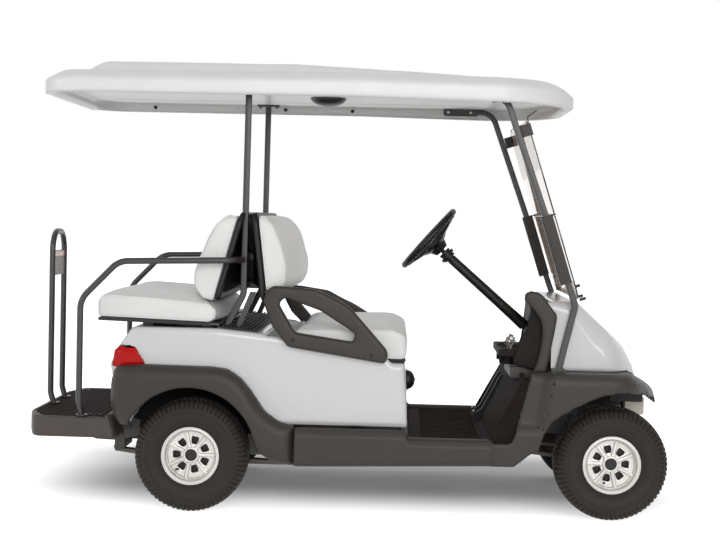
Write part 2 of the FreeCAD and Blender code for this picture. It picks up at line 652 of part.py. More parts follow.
rim_ring = doc.addObject("Part::Torus", "wheel_rim")
rim_ring.setExpression("Radius1", "Sizes.steering_wheel_radius")
rim_ring.setExpression("Radius2", "Sizes.steering_rim")
hub_cone = doc.addObject("Part::Cone", "wheel_hub")
hub_cone.Radius1 = 30
hub_cone.Radius2 = 48
hub_cone.Height = 55
hub_cone.Placement.Base = V(0, 0, -82)
spokes = []
for turn in (90, 210, 330):
    spoke = doc.addObject("Part::Box", "spoke")
    spoke.Length = size("steering_wheel_radius")
    spoke.Width = 34
    spoke.Height = 10
    spin = FreeCAD.Rotation(V(0, 0, 1), turn)
    tilt = FreeCAD.Rotation(V(0, 1, 0), -14)
    spoke.Placement = FreeCAD.Placement(spin.multVec(V(4, -17, -44)), spin.multiply(tilt))
    spokes.append(spoke)
shaft_bore = rod("shaft_bore", V(0, 0, -90), V(0, 0, -44), "10 + Sizes.running_gap")
wheel_solid = fused("wheel_solid", [rim_ring, hub_cone] + spokes)
steering_wheel = without("steering_wheel_cut", wheel_solid, [shaft_bore])
steering_wheel.Placement = FreeCAD.Placement(wheel_centre, FreeCAD.Rotation(V(0, 0, 1), column_axis * -1))
node("steering_wheel", steering_wheel)

pedal_rows = front([
    (-380, 500, 0), (-402, 500, 10), (-480, 350, 20), (-512, 326, 3), (-505, 314, 3), (-470, 332, 20), (-380, 490, 0),
])
pedal_arms = []
for name, y_low, y_high in (("brake_arm", 190, 202), ("go_arm", 330, 342)):
    stem = slab(name, pedal_rows, y_low, y_high)
    pad = slab(name + "_pad", front([(-520, 336, 3), (-500, 306, 3), (-492, 311, 3), (-512, 341, 3)]),
               y_low - 34, y_high + 34)
    pedal_arms.append(without(name + "_cut", fused(name + "_fused", [stem, pad]), [floor_pan]))
node("pedals", grouped("pedal_pair", pedal_arms))

# ---- seats ---------------------------------------------------------------------------------
hinge_x = rear_x + 838
base_low = size("seat_deck") + size("seat_gap_low")
base_top = base_low + size("base_depth")
cushion_back = rear_x + 384
node("front_seat_base", block("front_base", (cushion_back, hinge_x), (-480, 480), (base_low, base_top)))
cushion_rows = [(cushion_back, base_top, 10), (cushion_back, base_top + size("cushion_depth"), 40),
                (rear_x + 780, base_top + size("cushion_depth") + 6, 50), (rear_x + 845, base_top + 150, 40),
                (rear_x + 848, base_top, 20)]
node("front_seat_cushion", slab("front_cushion", cushion_rows, "-Sizes.seat_half", "Sizes.seat_half"))
front_back_rows = rear([(241, 1180, 30), (300, 1196, 45), (375, 1130, 90), (434, 985, 100), (428, 872, 25), (281, 872, 8)])
rear_back_rows = rear([(160, 1180, 8), (120, 1194, 40), (52, 1110, 120), (-14, 935, 90), (0, 832, 45), (64, 828, 8)])
front_back = slab("front_back", front_back_rows, "-Sizes.seat_half", "Sizes.seat_half")
rear_back = slab("rear_back", rear_back_rows, "-Sizes.seat_half", "Sizes.seat_half")
node("front_seat_back", front_back)
node("rear_seat_back", rear_back)
front_shell = slab("front_shell", rear([(226, 1190, 5), (240.5, 1190, 5), (280.5, 868, 5), (264, 868, 5)]), -495, 495)
rear_shell = slab("rear_shell", rear([(161, 1190, 2), (171, 1190, 2), (78, 826, 2), (65, 826, 2)]), -495, 495)
rear_cushion_rows = rear([(-370, 762.4, 15), (-372, 856, 40), (-285, 866, 80), (0, 850, 80), (70, 826, 40), (96, 790, 30),
                          (96, 746.4, 10)])
rear_cushion = without("rear_cushion_cut", slab("rear_cushion", rear_cushion_rows, "-Sizes.seat_half", "Sizes.seat_half"),
                       [slab("back_room", rear([(-22, 822, 0), (-22, 1000, 0), (200, 1000, 0), (200, 822, 0)]), -520, 520)])
node("rear_seat_cushion", rear_cushion)

strut_half = size("rear_strut_half")
tube_half = size("tube") / 2
strut_top = size("roof_under") - 8
strut = bent_bar("rear_strut", [V(rear_x + 191, -strut_half, strut_top), V(rear_x + 185, -strut_half, 862),
                                V(rear_x + 112, -strut_half, 715)], 60, True, size("tube"))
strut_plate = block("strut_plate", (rear_x + 141, rear_x + 241), (-strut_half - 30, -strut_half + 30),
                    (strut_top, size("roof_under")))
strut_solid = without("strut_cut", fused("strut_fused", [strut, strut_plate]), [outer_body])
both("rear_roof_struts", strut_solid)

seat_board = slab("seat_board", rear([(-372, 753, 0), (-372, 762, 0), (96, 746, 0), (96, 737, 0)]), -495, 495)
riser_rows = [("riser_rear", -220, -180), ("riser_front", 20, 60)]
frame_bits = [seat_board]
for name, x_low, x_high in riser_rows:
    frame_bits.append(block(name, (rear_x + x_low, rear_x + x_high), (-430, 430), (size("deck_top"), 744)))
seat_board_fused = fused("seat_board_fused", frame_bits)
ties = []
for name, x, z in (("tie_high", 185, 1010), ("tie_low", 185, 890)):
    ties.append(rod(name, V(rear_x + x, -strut_half + tube_half, z), V(rear_x + x, strut_half - tube_half, z), 12))
brackets = []
for name, x_low, x_high, z_low in (("rear_hold", 70, 176, 1000), ("front_hold", 194, 275, 1000),
                                   ("rear_hold_low", 70, 176, 880), ("front_hold_low", 194, 275, 880)):
    for y in (-300, 275):
        brackets.append(block(name, (rear_x + x_low, rear_x + x_high), (y, y + 25), (z_low, z_low + 20)))
brace_front = slab("brace_front", rear([(236, 872, 0), (212, 872, 0), (150, 715, 0), (172, 715, 0)]), -strut_half - 12, -strut_half + 12)
back_frame = without("back_frame", fused("back_frame_fused", ties + brackets),
                     [front_shell, rear_shell, front_back, rear_back])
node("seat_shells", grouped("shells", [without("front_shell_cut", front_shell, [front_back]),
                                       without("rear_shell_cut", rear_shell, [rear_back])]))
brace = without("brace_cut", brace_front, [outer_body])
node("seat_frame", grouped("seat_frame_group", [seat_board_fused, back_frame, brace, mirrored(brace)]))

tray_rows = rear([(104, size("deck_top") + 0.2, 0), (104, size("deck_top") + 8, 0), (250, 721, 0), (250, 713.5, 0)])
tray = without("tray", slab("tray_slab", tray_rows, -500, 500),
               [outer_body, strut_solid, mirrored(strut_solid), brace, mirrored(brace)])
node("bag_tray", tray)

arm_outer = rear([(273, 845, 30), (300, 905, 40), (480, 893, 80), (600, 828, 150), (774, 652, 42), (762, 606, 18),
                  (376, 664, 30), (310, 745, 60)])
arm_hole = rear([(335, 835, 20), (360, 858, 18), (500, 810, 80), (642, 722, 12), (630, 690, 12), (403, 722, 25)])
arm_solid = slab("arm_solid", arm_outer, "-Sizes.body_half - Sizes.arm_depth", "-Sizes.body_half")
arm_window = slab("arm_window", arm_hole, -700, -400)
both("armrests", without("armrest", arm_solid, [arm_window]))

# ---- rear step, hoop and handrails ---------------------------------------------------------
step_top = size("step_top")
step_low = step_top - size("step_depth")
step_half = size("step_half")
step_rows = rear([(-690, step_top, 10), (-345, step_top, 0), (-338, step_low, 0), (-701, step_low, 0)])
step_plan = rear([(-300, -step_half, 0), (-655, -step_half, 40), (-701, -300, 60), (-701, 300, 60), (-655, step_half, 40),
                  (-300, step_half, 0)])
step_outer = shared("step_outer", [slab("step_side", step_rows, -700, 700),
                                   slab("step_plan", step_plan, 200, 500, "XY")])
step_inner = block("step_inner", (rear_x - 640, rear_x - 357), (-step_half + 15, step_half - 15), (step_low - 10, step_top - 10))
step = without("step", step_outer, [step_inner])
step_parts = [step]
for y in (-rail_outer, size("rail_inner")):
    step_parts.append(block("step_rib", (rear_x - 640, rear_x - 357), (y, y + size("rail_width")),
                            (step_low, step_top - 5)))
node("rear_step", fused("rear_step_fused", step_parts))

hoop_x = rear_x - 665
hoop_half = size("hoop_half")
hoop_low = step_top
hoop_radius = size("hoop_radius")
hoop_tube = bent_bar("hoop_tube", [V(hoop_x, -hoop_half, hoop_low), V(hoop_x, -hoop_half, size("hoop_top") - hoop_radius),
                                   V(hoop_x, hoop_half, size("hoop_top") - hoop_radius), V(hoop_x, hoop_half, hoop_low)],
                     90, False, 2 * hoop_radius)
hoop_plate = block("hoop_plate", (hoop_x - 2, hoop_x + 2), (-hoop_half, hoop_half), (900, 1010))
node("grab_hoop", fused("hoop_fused", [hoop_tube, hoop_plate]))

rail_y = 550
hand_bar = bent_bar("hand_bar", [
    V(rear_x - 440, -rail_y + 60, step_top), V(rear_x - 440, -rail_y, 420), V(rear_x - 440, -rail_y, 805),
    V(rear_x - 300, -rail_y, 987), V(rear_x + 140, -rail_y, 1000), V(rear_x + 185, -strut_half - tube_half, 1000)],
    38, False, 2 * hoop_radius)
both("handrails", without("handrail", hand_bar, [strut_solid, step_outer]))

tail_rows = rear([(-301, 646, 10), (-344, 575, 10), (-336, 567, 0), (-205, 581, 0)])
tail_block = slab("tail_block", tail_rows, -size("body_half") - 14, -size("body_half") + 90)
both("tail_lights", without("tail_light", tail_block, [outer_body, fender_solid]))

# ---- roof and its struts -------------------------------------------------------------------
roof_under = size("roof_under")
shoulder = roof_under - 35 + size("roof_side")
roof_rows = rear([(-626, roof_under - 45, 0), (-600, roof_under - 33, 0)]) + [(0, roof_under - 30, 900)] + front([
    (-420, roof_under - 53, 400), (-132, roof_under - 85, 20), (-150, roof_under - 30, 60),
    (-250, roof_under + 37, 120)]) + [(0, shoulder, 2000)] + rear([(-570, shoulder - 15, 40)])
roof_half = size("roof_half")
roof_plan = rear([(-626, -roof_half, 70)]) + front([(-132, -roof_half, 260), (-132, roof_half, 260)]) + rear([
    (-626, roof_half, 70)])
roof_base = shared("roof_base", [slab("roof_side_slab", roof_rows, -700, 700),
                                 slab("roof_plan_slab", roof_plan, roof_under - 185, roof_under + 215, "XY")])
crown_rows = rear([(-520, roof_under + 15, 0), (-500, shoulder + size("roof_crown") - 6, 40)]) + front([
    (-500, shoulder + size("roof_crown") - 6, 400), (-260, roof_under + 50, 25),
    (-260, roof_under + 15, 0)])
crown_plan = rear([(-520, -420, 90)]) + front([(-260, -420, 200), (-260, 420, 200)]) + rear([(-520, 420, 90)])
roof_raised = shared("roof_raised", [slab("crown_side", crown_rows, -700, 700),
                                     slab("crown_plan", crown_plan, roof_under - 185, roof_under + 215, "XY")])
rim = size("roof_rim")
under_plan = rear([(-626 + rim, rim - roof_half, 50)]) + front([
    (-132 - 2 * rim, rim - roof_half, 230), (-132 - 2 * rim, roof_half - rim, 230)]) + rear([
        (-626 + rim, roof_half - rim, 50)])
roof_recess = slab("roof_recess", under_plan, roof_under - 185, roof_under, "XY")
roof = without("roof_cut", fused("roof_fused", [roof_base, roof_raised]), [roof_recess])
node("roof", roof)

front_strut_y = size("front_strut_half")
strut_lean = 0.3416
strut_knee = V(front_x - 155, -front_strut_y, 850)
strut_bend_z = roof_under - tube_half
strut_bend_x = strut_knee.x - strut_lean * (strut_bend_z - strut_knee.z)
front_strut = bent_bar("front_strut", [
    V(strut_bend_x - 237, -front_strut_y, strut_bend_z), V(strut_bend_x, -front_strut_y, strut_bend_z),
    strut_knee, V(front_x - 215, -front_strut_y, size("fender_deck") + 6)],
    50, True, size("tube"))
strut_foot = block("strut_foot", (front_x - 245, front_x - 190), (-front_strut_y - 15, -front_strut_y + 15),
                   (size("fender_deck"), size("fender_deck") + 14))
front_strut_solid = fused("front_strut_fused", [front_strut, strut_foot])
both("front_roof_struts", front_strut_solid)

# the windshield leans back by this much for each millimetre of height
lean = 0.32
pane_x = front_x - 250
pane_z = 1208


def pane_strip(name, z_low, z_high, back, thick, y_low, y_high):
    """A strip parallel to the windshield, set back from its rear face."""
    rows = []
    for z, step_x in ((z_low, -back), (z_low, thick - back), (z_high, thick - back), (z_high, -back)):
        rows.append((pane_x + lean * (pane_z - z) + step_x, z, 0))
    return slab(name, rows, y_low, y_high)


node("windshield_lower", pane_strip("lower_pane", 872, 1204, 0, size("pane"), -size("pane_half"), size("pane_half")))
node("windshield_upper", pane_strip("upper_pane", 1210, 1556, 0, size("pane"), -size("pane_half"), size("pane_half")))
channel = without("channel", pane_strip("channel_strip", 942, 1207, 60, 60, -front_strut_y - 20, -front_strut_y + 20),
                  [front_strut_solid])
clip = without("clip", pane_strip("clip_strip", 1480, 1520, 30, 30, -front_strut_y - 10, -front_strut_y + 10),
               [front_strut_solid])
node("windshield_channels", grouped("channels", [channel, mirrored(channel), clip, mirrored(clip)]))

selector = rod("selector", V(seat_front - 30, -150, 505), V(seat_front + 26, -150, 505), 24)
node("direction_selector", without("selector_cut", selector, [outer_body]))

# ---- checks and export ---------------------------------------------------------------------
doc.recompute()
problems = []
for thing in doc.Objects:
    if "Invalid" in thing.State or "Error" in thing.State:
        problems.append("%s is %s" % (thing.Name, thing.State))
for piece in nodes:
    if piece.Shape.isNull() or not piece.Shape.isValid() or not piece.Shape.Solids:
        problems.append("%s has no valid solid" % piece.Label)
if problems:
    raise RuntimeError("; ".join(problems))
os.makedirs("parts", exist_ok=True)
for piece in nodes:
    piece.Shape.exportStep("parts/%s.step" % piece.Label)
    box = piece.Shape.BoundBox
    print("%-20s solids %d  x %7.1f %7.1f  y %7.1f %7.1f  z %7.1f %7.1f  volume %.3g" % (
        piece.Label, len(piece.Shape.Solids), box.XMin, box.XMax, box.YMin, box.YMax, box.ZMin, box.ZMax,
        piece.Shape.Volume))
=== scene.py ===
"""Golf cart with two seats forward and two seats back: its looks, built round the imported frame."""

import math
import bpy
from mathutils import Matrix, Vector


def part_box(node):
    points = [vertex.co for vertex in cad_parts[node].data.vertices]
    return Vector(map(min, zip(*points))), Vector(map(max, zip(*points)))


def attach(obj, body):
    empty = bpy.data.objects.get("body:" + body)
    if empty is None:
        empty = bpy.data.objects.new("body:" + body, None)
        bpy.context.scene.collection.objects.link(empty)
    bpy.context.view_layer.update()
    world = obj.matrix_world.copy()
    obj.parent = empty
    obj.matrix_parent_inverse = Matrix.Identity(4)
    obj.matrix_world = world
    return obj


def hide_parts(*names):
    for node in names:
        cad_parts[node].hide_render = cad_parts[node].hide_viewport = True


bl_info = {
    "name": "Golf cart finish",
    "version": (1, 0, 0),
    "blender": (4, 5, 0),
    "location": "View3D > Sidebar > Golf cart",
    "description": "Builds the visible pieces and finishes of a four-seat golf cart",
    "category": "Object",
}

import bpy
import numpy as np
from bpy.types import Operator
from mathutils import Matrix, Vector

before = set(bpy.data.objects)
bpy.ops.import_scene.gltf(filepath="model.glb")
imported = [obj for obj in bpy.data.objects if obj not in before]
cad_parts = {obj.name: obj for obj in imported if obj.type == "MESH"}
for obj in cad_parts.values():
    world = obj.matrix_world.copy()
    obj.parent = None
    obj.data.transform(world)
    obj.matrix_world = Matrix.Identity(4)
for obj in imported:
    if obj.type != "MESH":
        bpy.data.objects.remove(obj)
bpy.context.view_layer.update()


def middle_of(node):
    """The middle of a node's box."""
    low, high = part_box(node)
    return (low + high) / 2


REAR = middle_of("rear_right_tyre").x
FRONT = middle_of("front_right_tyre").x
HUB = middle_of("front_right_tyre").z
FENDER_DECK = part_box("front_cowl")[0].z + 0.049
ROOF_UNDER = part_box("rear_roof_struts")[1].z


# ---- outlines ----
def plain(rows, start=0.0):
    """Rows of (mm across, mm up, corner radius) in metres from a start."""
    return [(start + a / 1000, b / 1000, r / 1000) for a, b, r in rows]


def behind(rows):
    """Rows of (mm ahead of the rear axle, up, corner radius) in metres."""
    return plain(rows, REAR)


def ahead(rows):
    """Rows of (mm ahead of the front axle, up, corner radius) in metres."""
    return plain(rows, FRONT)


def rectangle(low, high, radius, top_radius=None):
    """Rows of a rectangle from its low corner to its high one."""
    top = radius if top_radius is None else top_radius
    return [(low[0], low[1], radius), (high[0], low[1], radius), (high[0], high[1], top),
            (low[0], high[1], top)]


def rounded_points(rows, steps=6):
    """Closed outline from rows of (across, up, corner radius), its corners as short chords."""
    points = []
    count = len(rows)
    for i, (a, b, radius) in enumerate(rows):
        here = np.array((a, b), float)
        back = np.array(rows[i - 1][:2], float) - here
        on = np.array(rows[(i + 1) % count][:2], float) - here
        back /= np.linalg.norm(back)
        on /= np.linalg.norm(on)
        if radius <= 0 or np.linalg.norm(back + on) < 1e-6:
            points.append(here)
            continue
        half = math.acos(np.clip(back @ on, -1, 1)) / 2
        centre = here + (back + on) / np.linalg.norm(back + on) * radius / math.sin(half)
        first = here + back * radius / math.tan(half) - centre
        last = here + on * radius / math.tan(half) - centre
        turn = math.atan2(first[0] * last[1] - first[1] * last[0], first @ last)
        for step in range(steps + 1):
            c, s = math.cos(turn * step / steps), math.sin(turn * step / steps)
            points.append(centre + (c * first[0] - s * first[1], s * first[0] + c * first[1]))
    return np.array(points)


def outline_distance(u, v, points):
    """Signed distance from (u, v) to a closed outline: negative inside."""
    nearest = np.full(np.broadcast(u, v).shape, 1e9)
    inside = np.zeros(nearest.shape, bool)
    for i in range(len(points)):
        a, b = points[i - 1], points[i]
        edge = b - a
        if edge @ edge < 1e-14:
            continue
        du, dv = u - a[0], v - a[1]
        share = np.clip((du * edge[0] + dv * edge[1]) / (edge @ edge), 0, 1)
        nearest = np.minimum(nearest, (du - share * edge[0]) ** 2 + (dv - share * edge[1]) ** 2)
        if edge[1]:
            inside ^= ((v >= a[1]) != (v >= b[1])) & (du < dv * edge[0] / edge[1])
    return np.where(inside, -1, 1) * np.sqrt(nearest)


# ---- fields: distance to a shape, negative inside ----
def outline_field(first, second, usual_steps):
    """A maker of fields from outline rows, seen across two of the axes."""
    def made(rows, steps=usual_steps):
        points = rounded_points(rows, steps)
        return lambda *place: outline_distance(place[first], place[second], points)
    return made


from_side, from_above, from_front = outline_field(0, 2, 6), outline_field(0, 1, 8), outline_field(1, 2, 6)


def band(value, low, high):
    """Where a value lies between two levels."""
    return np.maximum(low - value, value - high)


def block_field(low, high, radius=0.0):
    """A block between two corners, with its edges rounded."""
    def field(x, y, z):
        across = meet(band(x, low[0], high[0]), band(y, low[1], high[1]), radius)
        return meet(across, band(z, low[2], high[2]), radius)
    return field


def meet(a, b, radius=0.0):
    """Where both are, with the edge between them rounded."""
    if isinstance(radius, float) and not radius:
        return np.maximum(a, b)
    over = np.sqrt(np.maximum(a + radius, 0) ** 2 + np.maximum(b + radius, 0) ** 2)
    return np.minimum(-radius, np.maximum(a, b)) + over


def join(a, b, radius=0.0):
    """Either of the two, with a fillet in the corner between them."""
    return -meet(-a, -b, radius)


def cut(a, b, radius=0.0):
    """The first without the second."""
    return meet(a, -b, radius)


def ease(value):
    """From 0 to 1, flat at both ends."""
    value = np.clip(value, 0, 1)
    return value * value * (3 - 2 * value)


# ---- shapes: (points, list of face arrays) ----
def surfaced(field, low, high, cell):
    """The field's zero surface inside a box, as quads of about one cell, each point set on the surface."""
    low, high = np.array(low, float) - 2.01 * cell, np.array(high, float) + 2.01 * cell
    axes = [np.arange(low[i], high[i] + cell, cell) for i in range(3)]
    x, y, z = np.meshgrid(*axes, indexing="ij", sparse=True)
    values = np.broadcast_to(field(x, y, z), [len(a) for a in axes])
    values = np.where(values == 0, 1e-9, values)
    solid = values < 0
    shape = np.array(values.shape) - 1
    total = np.zeros((*shape, 3))
    hits = np.zeros(shape)
    for axis in range(3):
        for p in (0, 1):
            for q in (0, 1):
                start = np.zeros(3, int)
                start[(axis + 1) % 3], start[(axis + 2) % 3] = p, q
                end = start + np.eye(3, dtype=int)[axis]
                one = values[tuple(slice(start[i], start[i] + shape[i]) for i in range(3))]
                two = values[tuple(slice(end[i], end[i] + shape[i]) for i in range(3))]
                crossing = (one < 0) != (two < 0)
                share = np.where(crossing, one / np.where(crossing, one - two, 1), 0)
                for i in range(3):
                    total[..., i] += np.where(crossing, start[i] + (share if i == axis else 0), 0)
                hits += crossing
    used = hits > 0
    index = np.full(shape, -1)
    index[used] = np.arange(used.sum())
    points = low + (np.argwhere(used) + total[used] / hits[used][:, None]) * cell
    faces = []
    for axis in range(3):
        here, there = [slice(None)] * 3, [slice(None)] * 3
        here[axis], there[axis] = slice(0, -1), slice(1, None)
        one, two = solid[tuple(here)], solid[tuple(there)]
        edges = np.argwhere(one != two)
        flip = one[tuple(edges.T)]
        quad = []
        for p, q in ((0, 0), (1, 0), (1, 1), (0, 1)):
            place = edges.copy()
            place[:, (axis + 1) % 3] -= 1 - p
            place[:, (axis + 2) % 3] -= 1 - q
            quad.append(index[tuple(place.T)])
        quad = np.stack(quad, 1)
        quad[~flip] = quad[~flip][:, ::-1]
        faces.append(quad)
    nudge = 0.0004
    for _ in range(3):
        here = field(*points.T)
        slope = np.stack([field(*(points + np.eye(3)[i] * nudge).T) - here for i in range(3)], 1) / nudge
        move = -slope * (here / np.maximum((slope ** 2).sum(1), 0.2))[:, None]
        points = points + np.clip(move, -cell, cell)
    return points, [np.concatenate(faces)]


def outward(shape):
    """The same closed shape with its faces turned outwards."""
    points, faces = shape
    volume = 0.0
    for face in faces:
        for i in range(1, face.shape[1] - 1):
            a, b, c = points[face[:, 0]], points[face[:, i]], points[face[:, i + 1]]
            volume += np.einsum("ij,ij->", a, np.cross(b, c))
    return shape if volume > 0 else (points, [f[:, ::-1] for f in faces])


def mirrored(shape):
    """The same shape on the other side of the cart."""
    points, faces = shape
    return points * (1, -1, 1), [f[:, ::-1] for f in faces]


def combined(shapes):
    """Several shapes as one."""
    points, faces, start = [], [], 0
    for some_points, some_faces in shapes:
        points.append(some_points)
        faces += [f + start for f in some_faces]
        start += len(some_points)
    return np.concatenate(points), faces


def both(*shapes):
    """Shapes on one side of the cart and on the other."""
    return combined([*shapes, *(mirrored(shape) for shape in shapes)])


def placed(shape, matrix):
    """A shape moved by a matrix."""
    points, faces = shape
    turn = np.array(matrix)
    return points @ turn[:3, :3].T + turn[:3, 3], faces


def grid_faces(rows, columns, closed_rows, closed_columns):
    """Quads of a grid of points, row by row."""
    index = np.arange(rows * columns).reshape(rows, columns)
    if closed_rows:
        index = np.concatenate([index, index[:1]])
    if closed_columns:
        index = np.concatenate([index, index[:, :1]], 1)
    quads = [index[:-1, :-1], index[1:, :-1], index[1:, 1:], index[:-1, 1:]]
    return np.stack([q.ravel() for q in quads], 1)


def turned(profile, steps=40, closed=False):
    """A solid of revolution about +Z from (radius, height) points; an open profile is capped."""
    profile = np.array(profile, float)
    angle = np.arange(steps) * math.tau / steps
    points = np.stack([np.outer(np.cos(angle), profile[:, 0]), np.outer(np.sin(angle), profile[:, 0]),
                       np.outer(np.ones(steps), profile[:, 1])], 2).reshape(-1, 3)
    faces = [grid_faces(steps, len(profile), True, closed)]
    if not closed:
        ring = np.arange(steps) * len(profile)
        if profile[0, 0] > 1e-6:
            faces.append(ring[None, ::-1])
        if profile[-1, 0] > 1e-6:
            faces.append((ring + len(profile) - 1)[None, :])
    return outward((points, faces))


def along(start, axis):
    """A matrix that takes +Z to an axis and the origin to a start."""
    turn = Vector((0, 0, 1)).rotation_difference(Vector(axis).normalized())
    return Matrix.Translation(Vector(start)) @ turn.to_matrix().to_4x4()


def disc(start, axis, radius, height, edge=0.001, steps=24):
    """A short round head or peg with its far edge broken."""
    profile = [(radius, 0), (radius, height - edge), (radius - edge, height), (0, height)]
    return placed(turned(profile, steps), along(start, axis))


ROOT_THREE = 1.732


def hexagon(start, axis, across, height):
    """A bolt's head."""
    radius = across / ROOT_THREE
    profile = [(radius, 0), (radius, height * 0.75), (radius * 0.82, height), (0, height)]
    return placed(turned(profile, 6), along(start, axis))


def bent_path(points, bends, steps=8):
    """Points along straight runs joined by arcs."""
    points = [np.array(p, float) for p in points]
    bends = [bends] * len(points) if isinstance(bends, (int, float)) else bends
    path = [points[0]]
    for i in range(1, len(points) - 1):
        back, on = points[i - 1] - points[i], points[i + 1] - points[i]
        back, on = back / np.linalg.norm(back), on / np.linalg.norm(on)
        half = math.acos(np.clip(back @ on, -1, 1)) / 2
        if half > 1.565:
            continue
        reach = bends[i] / math.tan(half)
        first, last = points[i] + back * reach, points[i] + on * reach
        centre = points[i] + (back + on) / np.linalg.norm(back + on) * bends[i] / math.sin(half)
        for step in range(steps + 1):
            share = step / steps
            whole = math.pi - 2 * half
            mix = (math.sin((1 - share) * whole) * (first - centre)
                   + math.sin(share * whole) * (last - centre))
            path.append(centre + mix / math.sin(whole))
    path.append(points[-1])
    return path


def swept(path, section, closed=False):
    """A section of (across, up) points carried along a path without twisting."""
    path = np.array(path, float)
    section = np.array(section, float)
    count = len(path)
    if closed:
        tangents = np.roll(path, -1, 0) - np.roll(path, 1, 0)
    else:
        tangents = np.gradient(path, axis=0)
    tangents /= np.linalg.norm(tangents, axis=1)[:, None]
    up = np.array((0.0, 1.0, 0.0))
    if abs(tangents[0] @ up) > 0.9:
        up = np.array((1.0, 0.0, 0.0))
    rings = []
    for place, tangent in zip(path, tangents):
        up = up - tangent * (up @ tangent)
        up /= np.linalg.norm(up)
        side = np.cross(tangent, up)
        rings.append(place + np.outer(section[:, 0], up) + np.outer(section[:, 1], side))
    points = np.concatenate(rings)
    faces = [grid_faces(count, len(section), closed, True)[:, ::-1]]
    if not closed:
        ring = np.arange(len(section))[None, :]
        faces += [ring, ring[:, ::-1] + (count - 1) * len(section)]
    return outward((points, faces))


def round_section(radius, steps=16):
    """A circle as points about its middle."""
    angle = np.arange(steps) * math.tau / steps
    return np.stack([np.cos(angle), np.sin(angle)], 1) * radius


def plate(rows, low, high, axis="Y"):
    """A flat outline pulled from low to high along an axis; its rows are (across, up, radius)."""
    outline = rounded_points(rows, 5)
    count = len(outline)
    across, up, along_axis = {"Y": (0, 2, 1), "X": (1, 2, 0), "Z": (0, 1, 2)}[axis]
    points = np.zeros((2 * count, 3))
    for half, value in enumerate((low, high)):
        part = points[half * count:(half + 1) * count]
        part[:, across], part[:, up], part[:, along_axis] = outline[:, 0], outline[:, 1], value
    ring = np.arange(count)
    sides = np.stack([ring, np.roll(ring, -1), np.roll(ring, -1) + count, ring + count], 1)
    return outward((points, [ring[None, ::-1], ring[None, :] + count, sides]))


def box_shape(low, high, edge=0.002):
    """A block with its long edges rounded."""
    return plate(rectangle((low[0], low[2]), (high[0], high[2]), edge), low[1], high[1])


def mesh_of(name, shape, sharp=None):
    """A Blender mesh from a shape or several; edges steeper than the sharp angle, in degrees, stay crisp."""
    points, faces = combined(shape) if isinstance(shape, list) else shape
    mesh = bpy.data.meshes.new(name)
    mesh.vertices.add(len(points))
    mesh.vertices.foreach_set("co", np.ascontiguousarray(points, np.float32).ravel())
    loops = np.concatenate([f.ravel() for f in faces])
    sizes = np.concatenate([np.full(len(f), f.shape[1]) for f in faces])
    mesh.loops.add(len(loops))
    mesh.loops.foreach_set("vertex_index", loops.astype(np.int32))
    mesh.polygons.add(len(sizes))
    mesh.polygons.foreach_set("loop_start", np.concatenate([[0], np.cumsum(sizes)[:-1]]).astype(np.int32))
    mesh.polygons.foreach_set("use_smooth", np.ones(len(sizes), bool))
    mesh.update(calc_edges=True)
    mesh.validate()
    if sharp is not None:
        mesh.set_sharp_from_angle(angle=math.radians(sharp))
    return mesh


def piece(name, shape, finish, replaces=None, body="root", sharp=None, bevel=0.0):
    """A finished piece that rides on a body, in place of the CAD node it names."""
    mesh = shape if isinstance(shape, bpy.types.Mesh) else mesh_of(name, shape, sharp)
    thing = bpy.data.objects.new(name, mesh)
    bpy.context.scene.collection.objects.link(thing)
    mesh.materials.append(finish)
    if bevel:
        soften(thing, bevel)
    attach(thing, body)
    if replaces:
        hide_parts(replaces)
    return thing


def soften(thing, width):
    """Rounds a thing's hard edges."""
    edge = thing.modifiers.new("edges", "BEVEL")
    edge.width = width
    edge.segments = 2
    edge.limit_method = "ANGLE"
    edge.angle_limit = math.radians(40)
    edge.harden_normals = True
    edge.use_clamp_overlap = True


def kept(node, finish, edge=0.0):
    """A CAD node that shows as it is, in a better finish."""
    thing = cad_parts[node]
    thing.data.materials.clear()
    thing.data.materials.append(finish)
    if edge:
        soften(thing, edge)
    return thing


# ---- finishes ----
NOISE_LOW, NOISE_HIGH = 0.3, 0.7
DUST_COLOUR = (0.33, 0.29, 0.24, 1)


def set_inputs(tree, node, inputs):
    """Joins a node's inputs to sockets, or sets them to values."""
    for key, value in inputs.items():
        if isinstance(value, bpy.types.NodeSocket):
            tree.links.new(value, node.inputs[key])
        else:
            node.inputs[key].default_value = value
    return node.outputs


def add_node(tree, kind, inputs, **settings):
    """A shader node with its settings and inputs; returns its outputs."""
    node = tree.nodes.new("ShaderNode" + kind)
    for key, value in settings.items():
        setattr(node, key, value)
    return set_inputs(tree, node, inputs)


def node_group(name, inputs, outputs):
    """An empty group: an input with no value is a vector, the other sockets are numbers."""
    group = bpy.data.node_groups.new(name, "ShaderNodeTree")
    for socket, value in inputs.items():
        kind = "NodeSocketVector" if value is None else "NodeSocketFloat"
        made = group.interface.new_socket(socket, in_out="INPUT", socket_type=kind)
        if value is not None:
            made.default_value = value
    for socket in outputs:
        group.interface.new_socket(socket, in_out="OUTPUT", socket_type="NodeSocketFloat")
    return group, group.nodes.new("NodeGroupInput").outputs, group.nodes.new("NodeGroupOutput")


